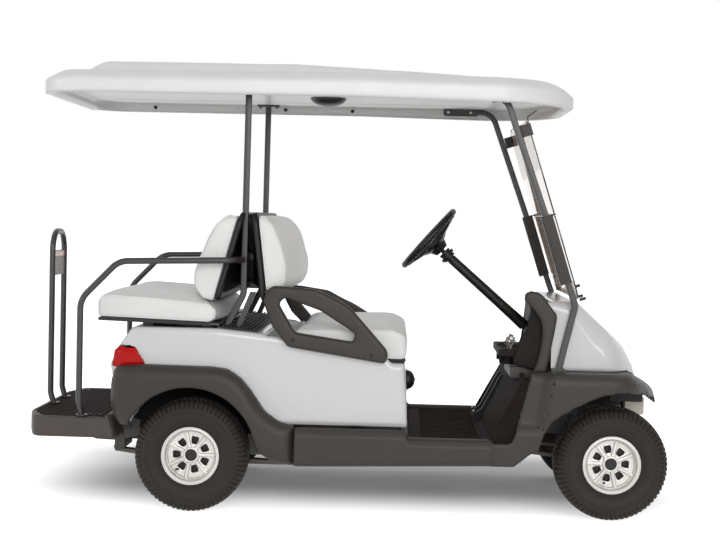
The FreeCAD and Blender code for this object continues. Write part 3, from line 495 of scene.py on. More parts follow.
def grain_group():
    """Moulded grain: a height for bump, a slow mottle and a fine speck, from object coordinates."""
    name = "moulded_grain"
    if name in bpy.data.node_groups:
        return bpy.data.node_groups[name]
    sockets = {"Place": None, "Grain": 900.0, "Cells": 0.5, "Mottle": 9.0}
    group, given, end = node_group(name, sockets, ("Height", "Mottle", "Speck"))
    place, grain = given["Place"], given["Grain"]
    fine = add_node(group, "TexNoise", {"Vector": place, "Scale": grain, "Detail": 3})
    cells = add_node(group, "TexVoronoi", {"Vector": place, "Scale": grain}, feature="SMOOTH_F1")
    slow = add_node(group, "TexNoise", {"Vector": place, "Scale": given["Mottle"], "Detail": 4})
    speck = add_node(group, "TexNoise", {"Vector": place, "Scale": 160, "Detail": 5})
    mix = add_node(group, "Mix", {"Factor": given["Cells"], "A": fine[0], "B": cells["Distance"]})
    set_inputs(group, end, {"Height": mix["Result"], "Mottle": slow[0], "Speck": speck[0]})
    return group


def dust_group():
    """Road dust: a mask that grows towards the ground and breaks up in patches."""
    name = "road_dust"
    if name in bpy.data.node_groups:
        return bpy.data.node_groups[name]
    group, given, end = node_group(name, {"Place": None, "Top": 0.45, "Patch": 14.0}, ("Mask",))
    height = add_node(group, "SeparateXYZ", {0: given["Place"]})["Z"]
    fade = add_node(group, "MapRange", {"Value": height, "From Max": given["Top"], "To Min": 1, "To Max": 0})
    patch = add_node(group, "TexNoise", {"Vector": given["Place"], "Scale": given["Patch"], "Detail": 6})
    mask = add_node(group, "Math", {0: fade[0], 1: patch[0]}, operation="MULTIPLY")
    set_inputs(group, end, {"Mask": mask[0]})
    return group


def finish(name, colour, rough, grain=900.0, cells=0.0, depth=0.0002, spread=0.08, mottle=9.0, shade=0.12,
           dust=0.0, metallic=0.0, coat=0.0, sheen=0.0, specular=0.5):
    """A material: colour with a slow mottle and some road dust, uneven gloss, and grain in its bump."""
    if name in bpy.data.materials:
        return bpy.data.materials[name]
    made = bpy.data.materials.new(name)
    made.use_nodes = True
    made.diffuse_color = (*colour, 1)
    tree = made.node_tree
    place = add_node(tree, "TexCoord", {})["Object"]
    grains = {"Place": place, "Grain": grain, "Cells": cells, "Mottle": mottle}
    texture = add_node(tree, "Group", grains, node_tree=grain_group())

    def spread_over(noise, low, high):
        ends = {"From Min": NOISE_LOW, "From Max": NOISE_HIGH, "To Min": low, "To Max": high}
        return add_node(tree, "MapRange", {**ends, "Value": noise})[0]

    tone = spread_over(texture["Mottle"], 1 - shade, 1 + shade * 0.4)
    toned = {"Factor": 1, "A": (*colour, 1), "B": tone}
    coloured = add_node(tree, "Mix", toned, data_type="RGBA", blend_type="MULTIPLY")["Result"]
    if dust:
        film = add_node(tree, "Group", {"Place": place}, node_tree=dust_group())
        amount = add_node(tree, "Math", {0: film["Mask"], 1: dust}, operation="MULTIPLY")
        cover = {"Factor": amount[0], "A": coloured, "B": DUST_COLOUR}
        coloured = add_node(tree, "Mix", cover, data_type="RGBA")["Result"]
    bump = add_node(tree, "Bump", {"Strength": 1, "Distance": depth, "Height": texture["Height"]})
    set_inputs(tree, tree.nodes["Principled BSDF"], {
        "Base Color": coloured, "Metallic": metallic, "Specular IOR Level": specular, "Sheen Weight": sheen,
        "Coat Weight": coat, "Coat Roughness": 0.12, "Normal": bump[0],
        "Roughness": spread_over(texture["Speck"], max(rough - spread, 0.02), min(rough + spread, 1))})
    return made


def tinted(name, colour, rough, weight, ior):
    """Clear sheet: glass or a lens, with faint wipe marks in its gloss."""
    made = finish(name, colour, rough, grain=40, depth=0.00002, spread=0.02, mottle=3, shade=0.05)
    clear = {"Transmission Weight": weight, "IOR": ior}
    set_inputs(made.node_tree, made.node_tree.nodes["Principled BSDF"], clear)
    return made


def srgb(red, green, blue):
    """Screen values 0-255 as linear light."""
    return tuple(v / 255 / 12.92 if v < 11 else ((v / 255 + 0.055) / 1.055) ** 2.4
                 for v in (red, green, blue))


def colour(label, about, *screen):
    return bpy.props.FloatVectorProperty(
        name=label, description=about, subtype="COLOR", size=3, min=0, max=1, default=srgb(*screen))


def length(label, about, metres, most=0.2):
    return bpy.props.FloatProperty(
        name=label, description=about, subtype="DISTANCE", unit="LENGTH", min=0, max=most, default=metres)


class GolfCartColours(bpy.types.PropertyGroup):
    """Paints, plastics and covers."""
    body: colour("Body panels", "Painted rear body and front cowl", 211, 211, 211)
    roof: colour("Roof", "Moulded roof", 228, 228, 227)
    cladding: colour("Cladding", "Moulded fenders, sills, step, armrests and dashboard", 54, 49, 45)
    floor_mat: colour("Floor mat", "Ribbed mat and toe board", 36, 30, 26)
    vinyl: colour("Seat vinyl", "Covers of the four cushions", 232, 232, 230)
    shell: colour("Seat shells", "Moulded backs of the seats and the tray", 21, 19, 17)
    tube: colour("Painted tubes", "Rear struts, rails, hoop and seat frame", 46, 42, 41)
    strut: colour("Front struts", "Painted front roof struts", 49, 49, 48)
    tyre: colour("Tyres", "Rubber of tread and walls", 36, 31, 27)
    rim: colour("Rims", "Machined and silvered wheels", 214, 210, 206)
    lamp: colour("Tail lights", "Red lenses", 196, 5, 8)
    tint: colour("Windshield", "Bronze tint of the panes", 176, 160, 147)
    frame_paint: colour("Frame", "Painted chassis", 34, 32, 31)
    steel: colour("Running gear", "Cast and forged parts", 96, 92, 88)


class GolfCartSizes(bpy.types.PropertyGroup):
    """Edges, seams and tread."""
    body_edge: length("Body edge", "Rounding where the sides of the rear body meet its top", 0.024)
    fender_edge: length("Fender edge", "Rounding along the top of the fenders", 0.05)
    cowl_edge: length("Cowl edge", "Rounding between the cowl's top and its sides", 0.1)
    roof_edge: length("Roof edge", "Rounding along the rim of the roof", 0.018)
    arm_edge: length("Armrest edge", "Rounding along the armrests", 0.0155)
    seam: length("Seam", "Welt along the cushions' seams, across", 0.0045)
    lug_depth: length("Lug depth", "Notches between the shoulder lugs", 0.0042)
    swell: length("Swell", "The most that stuffing pushes a cover out", 0.010)


def colours():
    return bpy.context.scene.golf_cart_colours


def sizes():
    return bpy.context.scene.golf_cart_sizes


# ---- the finishes of this cart ----
def cladding_finish():
    return finish("moulded_cladding", colours().cladding, 0.46, grain=1500, cells=0.5, depth=0.00025,
                  dust=0.04, shade=0.08, mottle=5, specular=0.3)


def mat_finish():
    return finish("ribbed_mat", colours().floor_mat, 0.75, grain=1100, cells=0.6, depth=0.0004, dust=0.06,
                  shade=0.2, specular=0.06)


def body_finish():
    return finish("body_paint", colours().body, 0.22, grain=700, depth=0.00003, spread=0.05, shade=0.02,
                  mottle=4, coat=0.5, dust=0.03)


def roof_finish():
    return finish("roof_skin", colours().roof, 0.36, grain=500, cells=0.5, depth=0.00015,
                  spread=0.06, shade=0.03)


def vinyl_finish():
    return finish("seat_vinyl_cover", colours().vinyl, 0.42, grain=1900, cells=0.8, depth=0.0003, shade=0.03,
                  mottle=6, sheen=0.08)


def shell_finish():
    return finish("seat_shell_plastic", colours().shell, 0.45, grain=1400, cells=0.5, depth=0.0003,
                  shade=0.15, specular=0.3)


def tube_finish():
    return finish("tube_powder_coat", colours().tube, 0.38, grain=1800, depth=0.00012, coat=0.15)


def strut_finish():
    return finish("strut_powder_coat", colours().strut, 0.4, grain=1800, depth=0.00012, shade=0.10, coat=0.15)


def tyre_finish():
    return finish("tyre_rubber_wall", colours().tyre, 0.6, grain=1200, cells=0.3, dust=0.05,
                  shade=0.14, mottle=11, specular=0.25)


def rim_finish():
    return finish("rim_silvered", colours().rim, 0.32, grain=700, depth=0.00003, shade=0.05, mottle=12,
                  metallic=0.45, spread=0.03)


def frame_finish():
    return finish("frame_black_paint", colours().frame_paint, 0.5, depth=0.0003, dust=0.5, shade=0.2)


def gear_finish():
    return finish("running_gear_cast", colours().steel, 0.48, grain=450, cells=0.5, depth=0.0006,
                  metallic=0.6, dust=0.3, shade=0.3, mottle=16)


def spring_finish():
    return finish("spring_leaf_steel", tuple(0.5 * c for c in colours().steel), 0.45, grain=600, depth=0.0003,
                  metallic=0.5, dust=0.4, shade=0.3)


def dark_finish():
    return finish("dark_fittings", srgb(26, 24, 23), 0.42, grain=1300, cells=0.3, shade=0.2, specular=0.35)


def bright_finish():
    return finish("zinc_fittings", srgb(196, 194, 190), 0.28, depth=0.0001, metallic=0.9, shade=0.15)


# ---- wheels ----
LUGS, WINDOWS = 68, 7
TYRE_WALL = [
    (101.9, 74), (102.2, 84.2), (108, 84.7), (116, 85.2), (121, 89), (126, 94), (134, 99.4), (142, 103),
    (150, 105.4), (158, 106.7), (166, 107), (170.2, 106.8), (171.6, 108.2), (174.6, 108.2), (176, 106.2),
    (181, 104.8), (184.6, 103.4)]
TYRE_SHOULDER = [
    (186, 102.6), (190, 100.6), (196, 97.6), (202, 94.2), (208, 90), (213, 85.6), (217, 80.5), (220, 74.5),
    (221.6, 68), (222.4, 60), (222.8, 54)]
TYRE_TREAD = [
    (216.5, 53), (216.5, 47), (223.4, 46), (224, 36), (224.4, 25), (217.5, 24), (217.5, 18), (224.8, 17),
    (225, 6)]
TYRE_INSIDE = [
    (105, -72), (140, -90), (190, -88), (206, -70), (210, 0), (206, 70), (190, 88), (140, 90), (105, 72)]
LUG_ANGLES = (0.0, 0.60, 0.68, 0.92)


def tyre_shape(depth):
    """A tyre about +Y, its tread cut in shoulder lugs and staggered blocks."""
    half = TYRE_WALL + TYRE_SHOULDER + TYRE_TREAD
    back = [(r, -y) for r, y in reversed(TYRE_WALL[::2] + TYRE_SHOULDER[::2] + TYRE_TREAD)]
    outside = half + back
    rows = np.array(outside + TYRE_INSIDE) / 1000
    place = np.abs(rows[:, 1])
    tread = np.arange(len(rows)) < len(outside)
    notch = np.where(tread & (rows[:, 0] > 0.1945) & (place > 0.0535), 1.0, 0.0)
    notch[tread & (rows[:, 0] > 0.223) & (place > 0.02) & (place < 0.0465)] = 0.7
    skew = np.interp(place, (0.006, 0.017, 0.024, 0.046, 0.053, 0.08),
                     (1.1, 0.9, 0.5, 0.32, 0.0, -0.1)) * tread
    lug = (np.arange(LUGS)[:, None] + np.array(LUG_ANGLES)[None, :]).ravel()
    low = np.tile((0, 0, 1, 1), LUGS)
    angle = (lug[:, None] + skew[None, :]) * math.tau / LUGS
    sunk = low[:, None] * notch[None, :] * depth
    run = np.gradient(rows, axis=0)
    inward = np.stack([run[:, 1], -run[:, 0]], 1)
    inward /= np.maximum(np.linalg.norm(inward, axis=1), 1e-9)[:, None]
    radius = rows[:, 0] + inward[:, 0] * sunk
    across = rows[:, 1] + inward[:, 1] * sunk
    points = np.stack([radius * np.cos(angle), across, radius * np.sin(angle)], 2).reshape(-1, 3)
    return outward((points, [grid_faces(len(lug), len(rows), True, True)]))


def rim_field():
    """The face of a wheel about +Y outwards: seven ribs between seven windows, round a raised hub."""
    sector_angle = math.tau / WINDOWS
    rows = plain([(43, -9, 3), (60, -15, 3), (73, -14, 3), (73, 14, 3), (60, 15, 3), (43, 9, 3)])
    window = rounded_points(rows, 3)

    def field(x, y, z):
        radius = np.sqrt(x * x + z * z)
        angle = np.arctan2(z, x)
        sector = (angle + sector_angle / 2) % sector_angle - sector_angle / 2
        u, v = radius * np.cos(sector), radius * np.sin(sector)
        web = meet(band(y, 0.040 - 0.008 * ease((radius - 0.03) / 0.05), 0.0445), radius - 0.099, 0.001)
        lip = meet(meet(band(y, 0.034, 0.060), radius - 0.0985, 0.002), 0.0935 - radius, 0.003)
        web = join(web, lip, 0.003)
        web = cut(web, outline_distance(u, v, window), 0.0015)
        spread = angle % sector_angle - sector_angle / 2
        along_rib, beside = radius * np.cos(spread), np.abs(radius * np.sin(spread))
        out = along_rib - 0.03
        rib = meet(beside - (0.0068 - 0.012 * out), band(y, 0.036, 0.0575 - 0.05 * out), 0.0035)
        rib = meet(rib, band(along_rib, 0.024, 0.097))
        web = join(web, rib, 0.003)
        hub = meet(meet(radius - 0.0315, band(y, 0.034, 0.0615), 0.003), 0.0236 - radius, 0.0015)
        return join(web, meet(hub, radius - 0.034), 0.002)
    return field


RIM_RING = [
    (90, 38), (96.5, 35), (97, -74), (100, -82), (108, -84), (109, -86), (114, -88.5), (115, -87),
    (115, -85.6), (111, -84.6), (103.5, -84.4), (101.5, -82), (101.5, -40), (98.6, -36), (98.6, 36),
    (101.5, 40), (101.5, 82), (103.5, 84.4), (111, 84.6), (115, 85.6), (115.4, 87.5), (114, 89.4),
    (111, 89.6), (109.4, 87.4), (107.6, 87.2), (106, 87.8), (103, 86.4), (98, 78), (97.2, 66), (96.4, 58),
    (94, 50), (91, 44)]
WHEEL_TURNS = {"front_right": 24.7, "front_left": 9.0, "rear_right": 0.0, "rear_left": 31.0}
STEM_ANGLE = 51.4
RIM_HUB = [(12.55, -43), (31, -43), (32, -42), (32, 36), (31, 42), (24, 43), (0, 43)]


class GOLFCART_OT_wheels(Operator):
    """Tyres with lugged shoulders on seven-rib wheels"""
    bl_idname = "golf_cart.wheels"
    bl_label = "Wheels"

    def execute(self, context):
        tyre = mesh_of("tyre", tyre_shape(sizes().lug_depth), sharp=38)
        outwards = Matrix.Rotation(-math.pi / 2, 4, "X")
        ring = turned(np.array(RIM_RING) / 1000, 96, closed=True)
        barrel = placed(combined([ring, turned(np.array(RIM_HUB) / 1000, 48)]), outwards)
        stem = disc((0, 0.04, 0), (0, 1, 0.3), 0.0032, 0.028, 0.0012, 12)
        stem = combined([stem, disc((0, 0.059, 0.0057), (0, 1, 0.3), 0.0042, 0.013, 0.001, 12)])
        cap = disc((0, 0.042, 0), (0, 1, 0), 0.0232, 0.0145, 0.0025, 48)
        # A thin near-black disc just inside the rim's face, seen through its windows: painted shade in the
        # hollow of the wheel, standing in for the shaded drum behind it.
        back = turned([(0.0315, 0.014), (0.0968, 0.014), (0.0968, 0.019), (0.0315, 0.019)], 64, closed=True)
        cap = combined([cap, placed(back, outwards)])
        face = surfaced(rim_field(), (-0.1, 0.03, -0.1), (0.1, 0.063, 0.1), 0.0032)
        for corner, turn in WHEEL_TURNS.items():
            middle = middle_of(corner + "_tyre")
            side = 1 if middle.y > 0 else -1
            place = Matrix.Translation(middle) @ Matrix.Rotation(math.pi if side < 0 else 0, 4, "Z")
            place = place @ Matrix.Rotation(-side * math.radians(turn), 4, "Y")
            body = corner + "_wheel"
            tyre_here = tyre.copy()
            tyre_here.transform(place)
            piece(corner + "_tyre_tread", tyre_here, tyre_finish(), corner + "_tyre", body)
            rim = mesh_of(corner + "_rim_face", placed(combined([face, barrel]), place), sharp=35)
            piece(corner + "_rim_ribs", rim, rim_finish(), corner + "_rim", body)
            # The cap piece carries the painted shade disc behind the windows as well as the hub cap.
            piece(corner + "_rim_cap_and_painted_shade_disc", placed(cap, place), dark_finish(), body=body, sharp=35)
            swing = place @ Matrix.Rotation(math.radians(STEM_ANGLE), 4, "Y")
            valve = placed(stem, swing @ Matrix.Translation((0.079, 0, 0)))
            piece(corner + "_valve", valve, dark_finish(), body=body, sharp=35)
        return {"FINISHED"}


# ---- under the floor ----
CAST_NODES = ("front_axle", "rear_axle", "knuckle_right", "knuckle_left", "tie_rod", "steering_gear")


class GOLFCART_OT_running_gear(Operator):
    """Frame, axles, springs, steering, battery and motor"""
    bl_idname = "golf_cart.running_gear"
    bl_label = "Running gear"

    def execute(self, context):
        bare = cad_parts["chassis_frame"].data.copy()
        spots = np.empty(len(bare.vertices) * 3)
        bare.vertices.foreach_get("co", spots)
        spots = spots.reshape(-1, 3)
        nose = FRONT + 0.140
        spots[:, 0] = np.minimum(spots[:, 0], nose + 0.1 * (spots[:, 0] - FRONT - 0.140))
        bare.vertices.foreach_set("co", np.ascontiguousarray(spots, np.float32).ravel())
        bare.materials.clear()
        piece("chassis_rails", bare, frame_finish(), "chassis_frame", bevel=0.003)
        block_finish = finish("horn_case", srgb(228, 220, 208), 0.32, grain=800, shade=0.15)
        block = box_shape((FRONT + 0.080, -0.278, 0.398), (FRONT + 0.159, -0.228, 0.472), 0.010)
        piece("horn_block", block, block_finish, sharp=40, bevel=0.004)
        bracket = box_shape((FRONT + 0.020, -0.290, 0.452), (FRONT + 0.150, -0.278, 0.505), 0.003)
        piece("horn_bracket", bracket, dark_finish(), sharp=40, bevel=0.001)
        for node in CAST_NODES:
            kept(node, gear_finish(), 0.002)
        kept("leaf_springs", spring_finish(), 0.002)
        motor_finish = finish("motor_case_cast", srgb(104, 102, 98), 0.42, grain=500, cells=0.4, depth=0.0005,
                              metallic=0.7, dust=0.3, shade=0.2)
        kept("drive_motor", motor_finish, 0.006)
        case_finish = finish("battery_case_plastic", srgb(44, 42, 42), 0.5, depth=0.0003, dust=0.2)
        kept("battery_pack", case_finish, 0.006)
        return {"FINISHED"}


# ---- rear body, fenders, sills and floor ----
SKIN = 0.016
BODY_FOOT = (861, 349, 0)
BODY_FRONT_TOP = (839, 606, 10)
BODY_ROWS = behind([
    (-279, 338, 0), (-342, 573, 30), (-301, 650, 40), (-248, 727, 30), (100, 727, 60), (252, 713, 20),
    (390, 698, 60), (762, 640, 20), (792, 606, 10), BODY_FRONT_TOP, BODY_FOOT, (408, 349, 0), (330, 338, 0)])
BODY_PLAN = behind([(-374, -528, 100), (861, -528, 16), (861, 528, 16), (-374, 528, 100)])
INNER_ROWS = behind([
    (-264, 300, 0), (-327, 575, 25), (-289, 648, 30), (-240, 715, 20), (100, 715, 50), (245, 701, 15),
    (310, 594, 15), (828, 594, 12), (851, 300, 0)])
INNER_PLAN = behind([(-366, -513, 85), (849, -513, 8), (849, 513, 8), (-366, 513, 85)])
RECESS_ROWS = behind([(262, 760, 0), (318, 606, 15), (880, 606, 0), (880, 760, 0)])
FENDER_ROWS = behind([
    (-284, 338, 0), (-318, 377, 40), (-337, 430, 60), (-337, 500, 60), (-312, 572, 40), (-214, 581, 60),
    (76, 578, 90), (140, 570, 60), (190, 538, 80), (232, 490, 150), (290, 405, 100), (349, 365, 60),
    (407, 351, 0), (407, 193, 0), (330, 200, 40), (240, 260, 0), (0, 340, 0)])
ARCH = (REAR - 0.008, HUB + 0.003, 0.268)


def arch_field(centre_x, centre_z, radius):
    """A wheel's arch: a cylinder across the cart."""
    return lambda x, y, z: np.sqrt((x - centre_x) ** 2 + (z - centre_z) ** 2) - radius + 0 * y


def rear_body_field():
    """The painted shell: hollow, with the seat recess, wheel arches and battery hatch cut out."""
    side, plan = from_side(BODY_ROWS), from_above(BODY_PLAN)
    inner, inner_plan = from_side(INNER_ROWS), from_above(INNER_PLAN)
    recess, arch = from_side(RECESS_ROWS), arch_field(*ARCH)
    hatch = block_field((REAR + 0.42, -0.42, 0.56), (REAR + 0.79, 0.42, 0.64), 0.02)
    edge = sizes().body_edge

    def field(x, y, z):
        shell = meet(side(x, y, z), plan(x, y, z), edge)
        shell = cut(shell, meet(inner(x, y, z), inner_plan(x, y, z), edge), 0.003)
        shell = cut(shell, meet(recess(x, y, z), band(y, -0.513, 0.513), 0.01), 0.005)
        shell = cut(shell, arch(x, y, z), 0.003)
        return cut(shell, hatch(x, y, z), 0.003)
    return field


def rear_fender_field():
    """The left rear fender: a skin that draws in ahead of the wheel and round the rear corner."""
    side, arch = from_side(FENDER_ROWS, 8), arch_field(*ARCH)
    edge = sizes().fender_edge

    def field(x, y, z):
        reach = 0.600 - 0.0145 * ease((x - REAR - 0.19) / 0.2)
        corner = np.clip(REAR - 0.215 - x, 0, 0.115)
        reach = reach - 0.6 * (0.12 - np.sqrt(0.12 ** 2 - corner ** 2))
        out = meet(side(x, y, z), y - reach, edge)
        out = meet(out, 0.5285 - y)
        hollow = meet(side(x, y, z) + SKIN, y - reach + SKIN, edge - SKIN)
        out = cut(out, meet(hollow, 0.520 - y), 0.003)
        return cut(out, arch(x, y, z), 0.006)
    return field


SILL_SECTION = plain([
    (544, 193, 0), (574, 193, 10), (585, 204, 10), (585, 318, 12), (571, 342, 12), (544, 349, 0)])


def sill_field():
    """The left sill: its top drops at the seat's front, and its bottom rises towards the front."""
    seat_front = REAR + 0.861
    side = from_side(behind([(408, 193, 0), (408, 349, 0)]) + [
        (seat_front - 0.016, 0.349, 0.008), (seat_front + 0.002, 0.320, 0.008), (FRONT - 0.474, 0.320, 0),
        (FRONT - 0.474, 0.193, 0)])
    section = from_front(SILL_SECTION)

    def field(x, y, z):
        low = 0.029 * ease((x - seat_front + 0.016) / 0.02)
        rise = 0.022 * np.clip((x - REAR - 0.408) / (FRONT - 0.489 - REAR - 0.408), 0, 1)
        upper = ease((z - 0.24) / 0.05)
        behind_fender = 0.0012 * ease((x - FRONT + 0.492) / 0.002)
        return meet(section(x, y + behind_fender, z + low * upper - rise * (1 - upper)), side(x, y, z), 0.004)
    return field


class GOLFCART_OT_rear_body(Operator):
    """Rear body with its seat recess, battery hatch and wheel arches"""
    bl_idname = "golf_cart.rear_body"
    bl_label = "Rear body"

    def execute(self, context):
        shape = surfaced(rear_body_field(), *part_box("rear_body"), 0.0092)
        piece("rear_body_shell", shape, body_finish(), "rear_body")
        hatch = block_field((REAR + 0.424, -0.416, 0.584), (REAR + 0.786, 0.416, 0.600), 0.006)
        lid = surfaced(hatch, (REAR + 0.42, -0.42, 0.58), (REAR + 0.79, 0.42, 0.604), 0.012)
        piece("battery_hatch_lid", lid, shell_finish())
        return {"FINISHED"}


class GOLFCART_OT_side_cladding(Operator):
    """Rear fenders and the sills between the wheels"""
    bl_idname = "golf_cart.side_cladding"
    bl_label = "Rear fenders and sills"

    def execute(self, context):
        low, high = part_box("rear_fenders")
        fender = surfaced(rear_fender_field(), (low.x - 0.01, 0.52, low.z), high, 0.0082)
        piece("rear_fender_pair", both(fender), cladding_finish(), "rear_fenders")
        arch = arch_field(*ARCH)

        def liner(x, y, z):
            roof = meet(np.abs(arch(x, y, z) - 0.007) - 0.005, band(y, 0.331, 0.560))
            wall = meet(meet(arch(x, y, z) - 0.012, -arch(x, y, z) - 0.105), band(y, 0.331, 0.341))
            return meet(meet(join(roof, wall, 0.003), HUB + 0.06 - z), band(x, REAR - 0.24, REAR + 0.24))

        shape = surfaced(liner, (REAR - 0.25, 0.33, HUB), (REAR + 0.25, 0.565, HUB + 0.29), 0.0078)
        # The wheel house is drawn near black and almost without gloss: painted shade inside the arch, over
        # the wheel.
        wheel_house_shade_finish = finish("wheel_house_painted_shade", srgb(14, 12, 11), 0.7, depth=0.0003, specular=0.15)
        piece("wheel_house_liners", both(shape), wheel_house_shade_finish)
        low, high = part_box("rocker_panels")
        sill = surfaced(sill_field(), (low.x, 0.54, low.z), high, 0.0082)
        piece("rocker_panel_pair", both(sill), cladding_finish(), "rocker_panels", sharp=50)
        return {"FINISHED"}


class GOLFCART_OT_floor(Operator):
    """Ribbed floor mat and the sloping toe board"""
    bl_idname = "golf_cart.floor"
    bl_label = "Floor"

    def execute(self, context):
        kept("floor_pan", mat_finish(), 0.003)
        front = REAR + 0.861
        ribs = [box_shape((front + 0.05, y - 0.006, 0.2985), (FRONT - 0.52, y + 0.006, 0.3035), 0.0015)
                for y in (-0.52 + 0.04 * i for i in range(27))]
        wall = ahead([(-489, 302, 0), (-489, 322, 0), (-366, 546, 0), (-300, 575, 0), (-300, 302, 0)])
        walls = both(plate(wall, 0.5405, 0.5475))
        piece("foot_well_walls", walls, mat_finish(), sharp=40)
        piece("floor_mat_ribs", ribs, mat_finish(), sharp=40)
        return {"FINISHED"}


# ---- front fender and cowl ----
FRONT_TOP = ahead([
    (-800, 0, 0), (-800, 586, 0), (65, 586, 60), (151, 534, 60), (222, 498, 30), (374, 300, 0), (374, 0, 0)])
FRONT_KEEP = ahead([
    (-489, 215, 0), (-489, 304, 0), (-398, 304, 34), (-368, 420, 90), (-330, 571, 0), (-330, 701, 0),
    (450, 701, 0), (450, 385, 0), (246, 420, 8), (190, 430, 0), (0, 430, 0), (-330, 264, 0), (-390, 215, 30)])
FRONT_PLAN = ahead([
    (-800, -585, 0), (62, -585, 170), (164, -420, 320), (266, 0, 800), (164, 420, 320), (62, 585, 170),
    (-800, 585, 0)])
COWL_TOP = ahead([
    (-500, 300, 0), (-500, 868, 0), (-140, 862, 40), (-32, 765, 300), (60, 685, 200), (118, 605, 60),
    (252, 300, 0)])
COWL_KEEP = ahead([(-264, 587, 0), (-264, 931, 0), (400, 931, 0), (400, 389, 0), (65, 587, 30)])
COWL_PLAN = ahead([
    (-500, -458, 0), (20, -458, 120), (160, -300, 120), (160, 300, 120), (20, 458, 120), (-500, 458, 0)])
LAMP_Y, LAMP_Z, LAMP_RADIUS = 0.250, 0.640, 0.042


def front_skin(x, z):
    """How far out the front fender stands: it steps in behind a ridge, towards the foot well."""
    behind_ridge = 1 - ease((x - FRONT + 0.300 - 0.13 * (z - 0.5)) / 0.066)
    return 0.585 - 0.030 * behind_ridge * ease((z - 0.335) / 0.06)


def front_fender_field():
    """The front fender: one hollow skin over both wheels, cut back to the foot well."""
    top, keep, plan = from_side(FRONT_TOP, 8), from_side(FRONT_KEEP), from_above(FRONT_PLAN)
    edge = sizes().fender_edge

    def arch(x, y, z):
        lift = ease((z - 0.38) / 0.1)
        return np.sqrt((x - FRONT - 0.035 * lift) ** 2 + (z - HUB + 0.010 * lift) ** 2) - 0.298 + 0 * y

    def field(x, y, z):
        round_over = 0.018 + (edge - 0.018) * ease((x - FRONT + 0.36) / 0.12)
        skin = meet(plan(x, y, z), y - front_skin(x, z), 0.02)
        out = meet(top(x, y, z), skin, round_over)
        out = cut(out, meet(top(x, y, z) + SKIN, skin + SKIN, np.maximum(round_over - SKIN, 0.003)), 0.003)
        out = meet(out, keep(x, y, z), 0.004)
        out = cut(out, arch(x, y, z), 0.004)
        out = cut(out, meet(meet(x - FRONT + 0.34, 0.100 - z), y - 0.541))
        return cut(out, meet(meet(x - FRONT + 0.262, 0.540 - z), y - 0.505))
    return lambda x, y, z: field(x, np.abs(y), z)


def cowl_field(lamps=True):
    """The painted cowl: a hollow skin, with or without the holes for its lamps."""
    top, keep, plan = from_side(COWL_TOP, 8), from_side(COWL_KEEP), from_above(COWL_PLAN)
    edge = sizes().cowl_edge

    def field(x, y, z):
        round_over = 0.030 + (edge - 0.030) * ease((x - FRONT + 0.25) / 0.2)
        out = meet(top(x, y, z), plan(x, y, z), round_over)
        out = cut(out, meet(top(x, y, z) + SKIN, plan(x, y, z) + SKIN, round_over), 0.003)
        out = meet(out, keep(x, y, z), 0.005)
        out = cut(out, meet(x - FRONT + 0.236, -0.43 - y))
        if lamps:
            hole = np.sqrt((np.abs(y) - LAMP_Y) ** 2 + (z - LAMP_Z) ** 2) - LAMP_RADIUS
            out = cut(out, meet(hole, FRONT + 0.04 - x), 0.003)
        return out
    return field


class GOLFCART_OT_front_body(Operator):
    """Front fender moulding, painted cowl and headlights"""
    bl_idname = "golf_cart.front_body"
    bl_label = "Front body"

    def execute(self, context):
        shape = surfaced(front_fender_field(), *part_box("front_fender"), 0.0091)
        piece("front_fender_moulding", shape, cladding_finish(), "front_fender")
        shape = surfaced(cowl_field(), *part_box("front_cowl"), 0.0091)
        piece("front_cowl_skin", shape, body_finish(), "front_cowl")
        outer = cowl_field(False)

        def lens(x, y, z):
            around = np.sqrt((np.abs(y) - LAMP_Y) ** 2 + (z - LAMP_Z) ** 2)
            return meet(meet(outer(x, y, z) + 0.0015, around - LAMP_RADIUS + 0.001, 0.003), FRONT + 0.04 - x)

        low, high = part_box("headlights")
        half = surfaced(lens, (low.x, 0.2, low.z), high, 0.0045)
        lens_finish = tinted("headlight_lens", srgb(246, 246, 246), 0.05, 1.0, 1.45)
        piece("headlight_lenses", both(half), lens_finish, "headlights")
        plugs = [disc((FRONT - 0.262, side * 0.566, 0.452), (0, side, 0), 0.0065, 0.0085, 0.001, 20)
                 for side in (-1, 1)]
        piece("fender_plugs", plugs, dark_finish(), sharp=40)
        bowl = turned([(0.012, -0.07), (0.020, -0.066), (0.034, -0.04), (0.0365, -0.016), (0.0365, -0.012),
                       (0.033, -0.038), (0.019, -0.062), (0.0, -0.064)], 40)
        bulb = turned([(0.0, -0.032), (0.004, -0.034), (0.0055, -0.042), (0.0055, -0.062),
                       (0.0, -0.063)], 16)
        bowls = []
        for side in (-1, 1):
            place = along((FRONT + 0.086, side * LAMP_Y, LAMP_Z - 0.006), (0.81, 0.1 * side, 0.587))
            bowls += [placed(bowl, place), placed(bulb, place)]
        piece("headlight_bowls", bowls, bright_finish(), sharp=40)
        return {"FINISHED"}


# ---- dashboard, steering and pedals ----
BAND_ROWS = ahead([
    (-332, 904, 14), (-300, 898, 14), (-279, 882, 14), (-257, 848, 16), (-229, 814, 14), (-227, 796, 12),
    (-235, 745, 40), (-266, 577, 0), (-322, 577, 0), (-310, 598, 20), (-297, 640, 60), (-286, 700, 60),
    (-283, 752, 40), (-292, 790, 30), (-318, 828, 25), (-340, 850, 12), (-357, 866, 12), (-354, 894, 14)])
WALL_ROWS = ahead([
    (-336, 850, 0), (-328, 816, 20), (-342, 758, 30), (-369, 712, 30), (-390, 654, 20), (-398, 612, 10),
    (-320, 588, 0), (-262, 600, 0), (-240, 745, 0), (-240, 800, 0), (-290, 852, 0)])
PANEL_ROWS = ahead([
    (-262, 575, 0), (-285, 640, 30), (-279, 760, 30), (-272, 836, 10), (-240, 844, 8), (-231, 800, 10),
    (-238, 745, 30), (-240, 640, 0), (-236, 575, 0)])
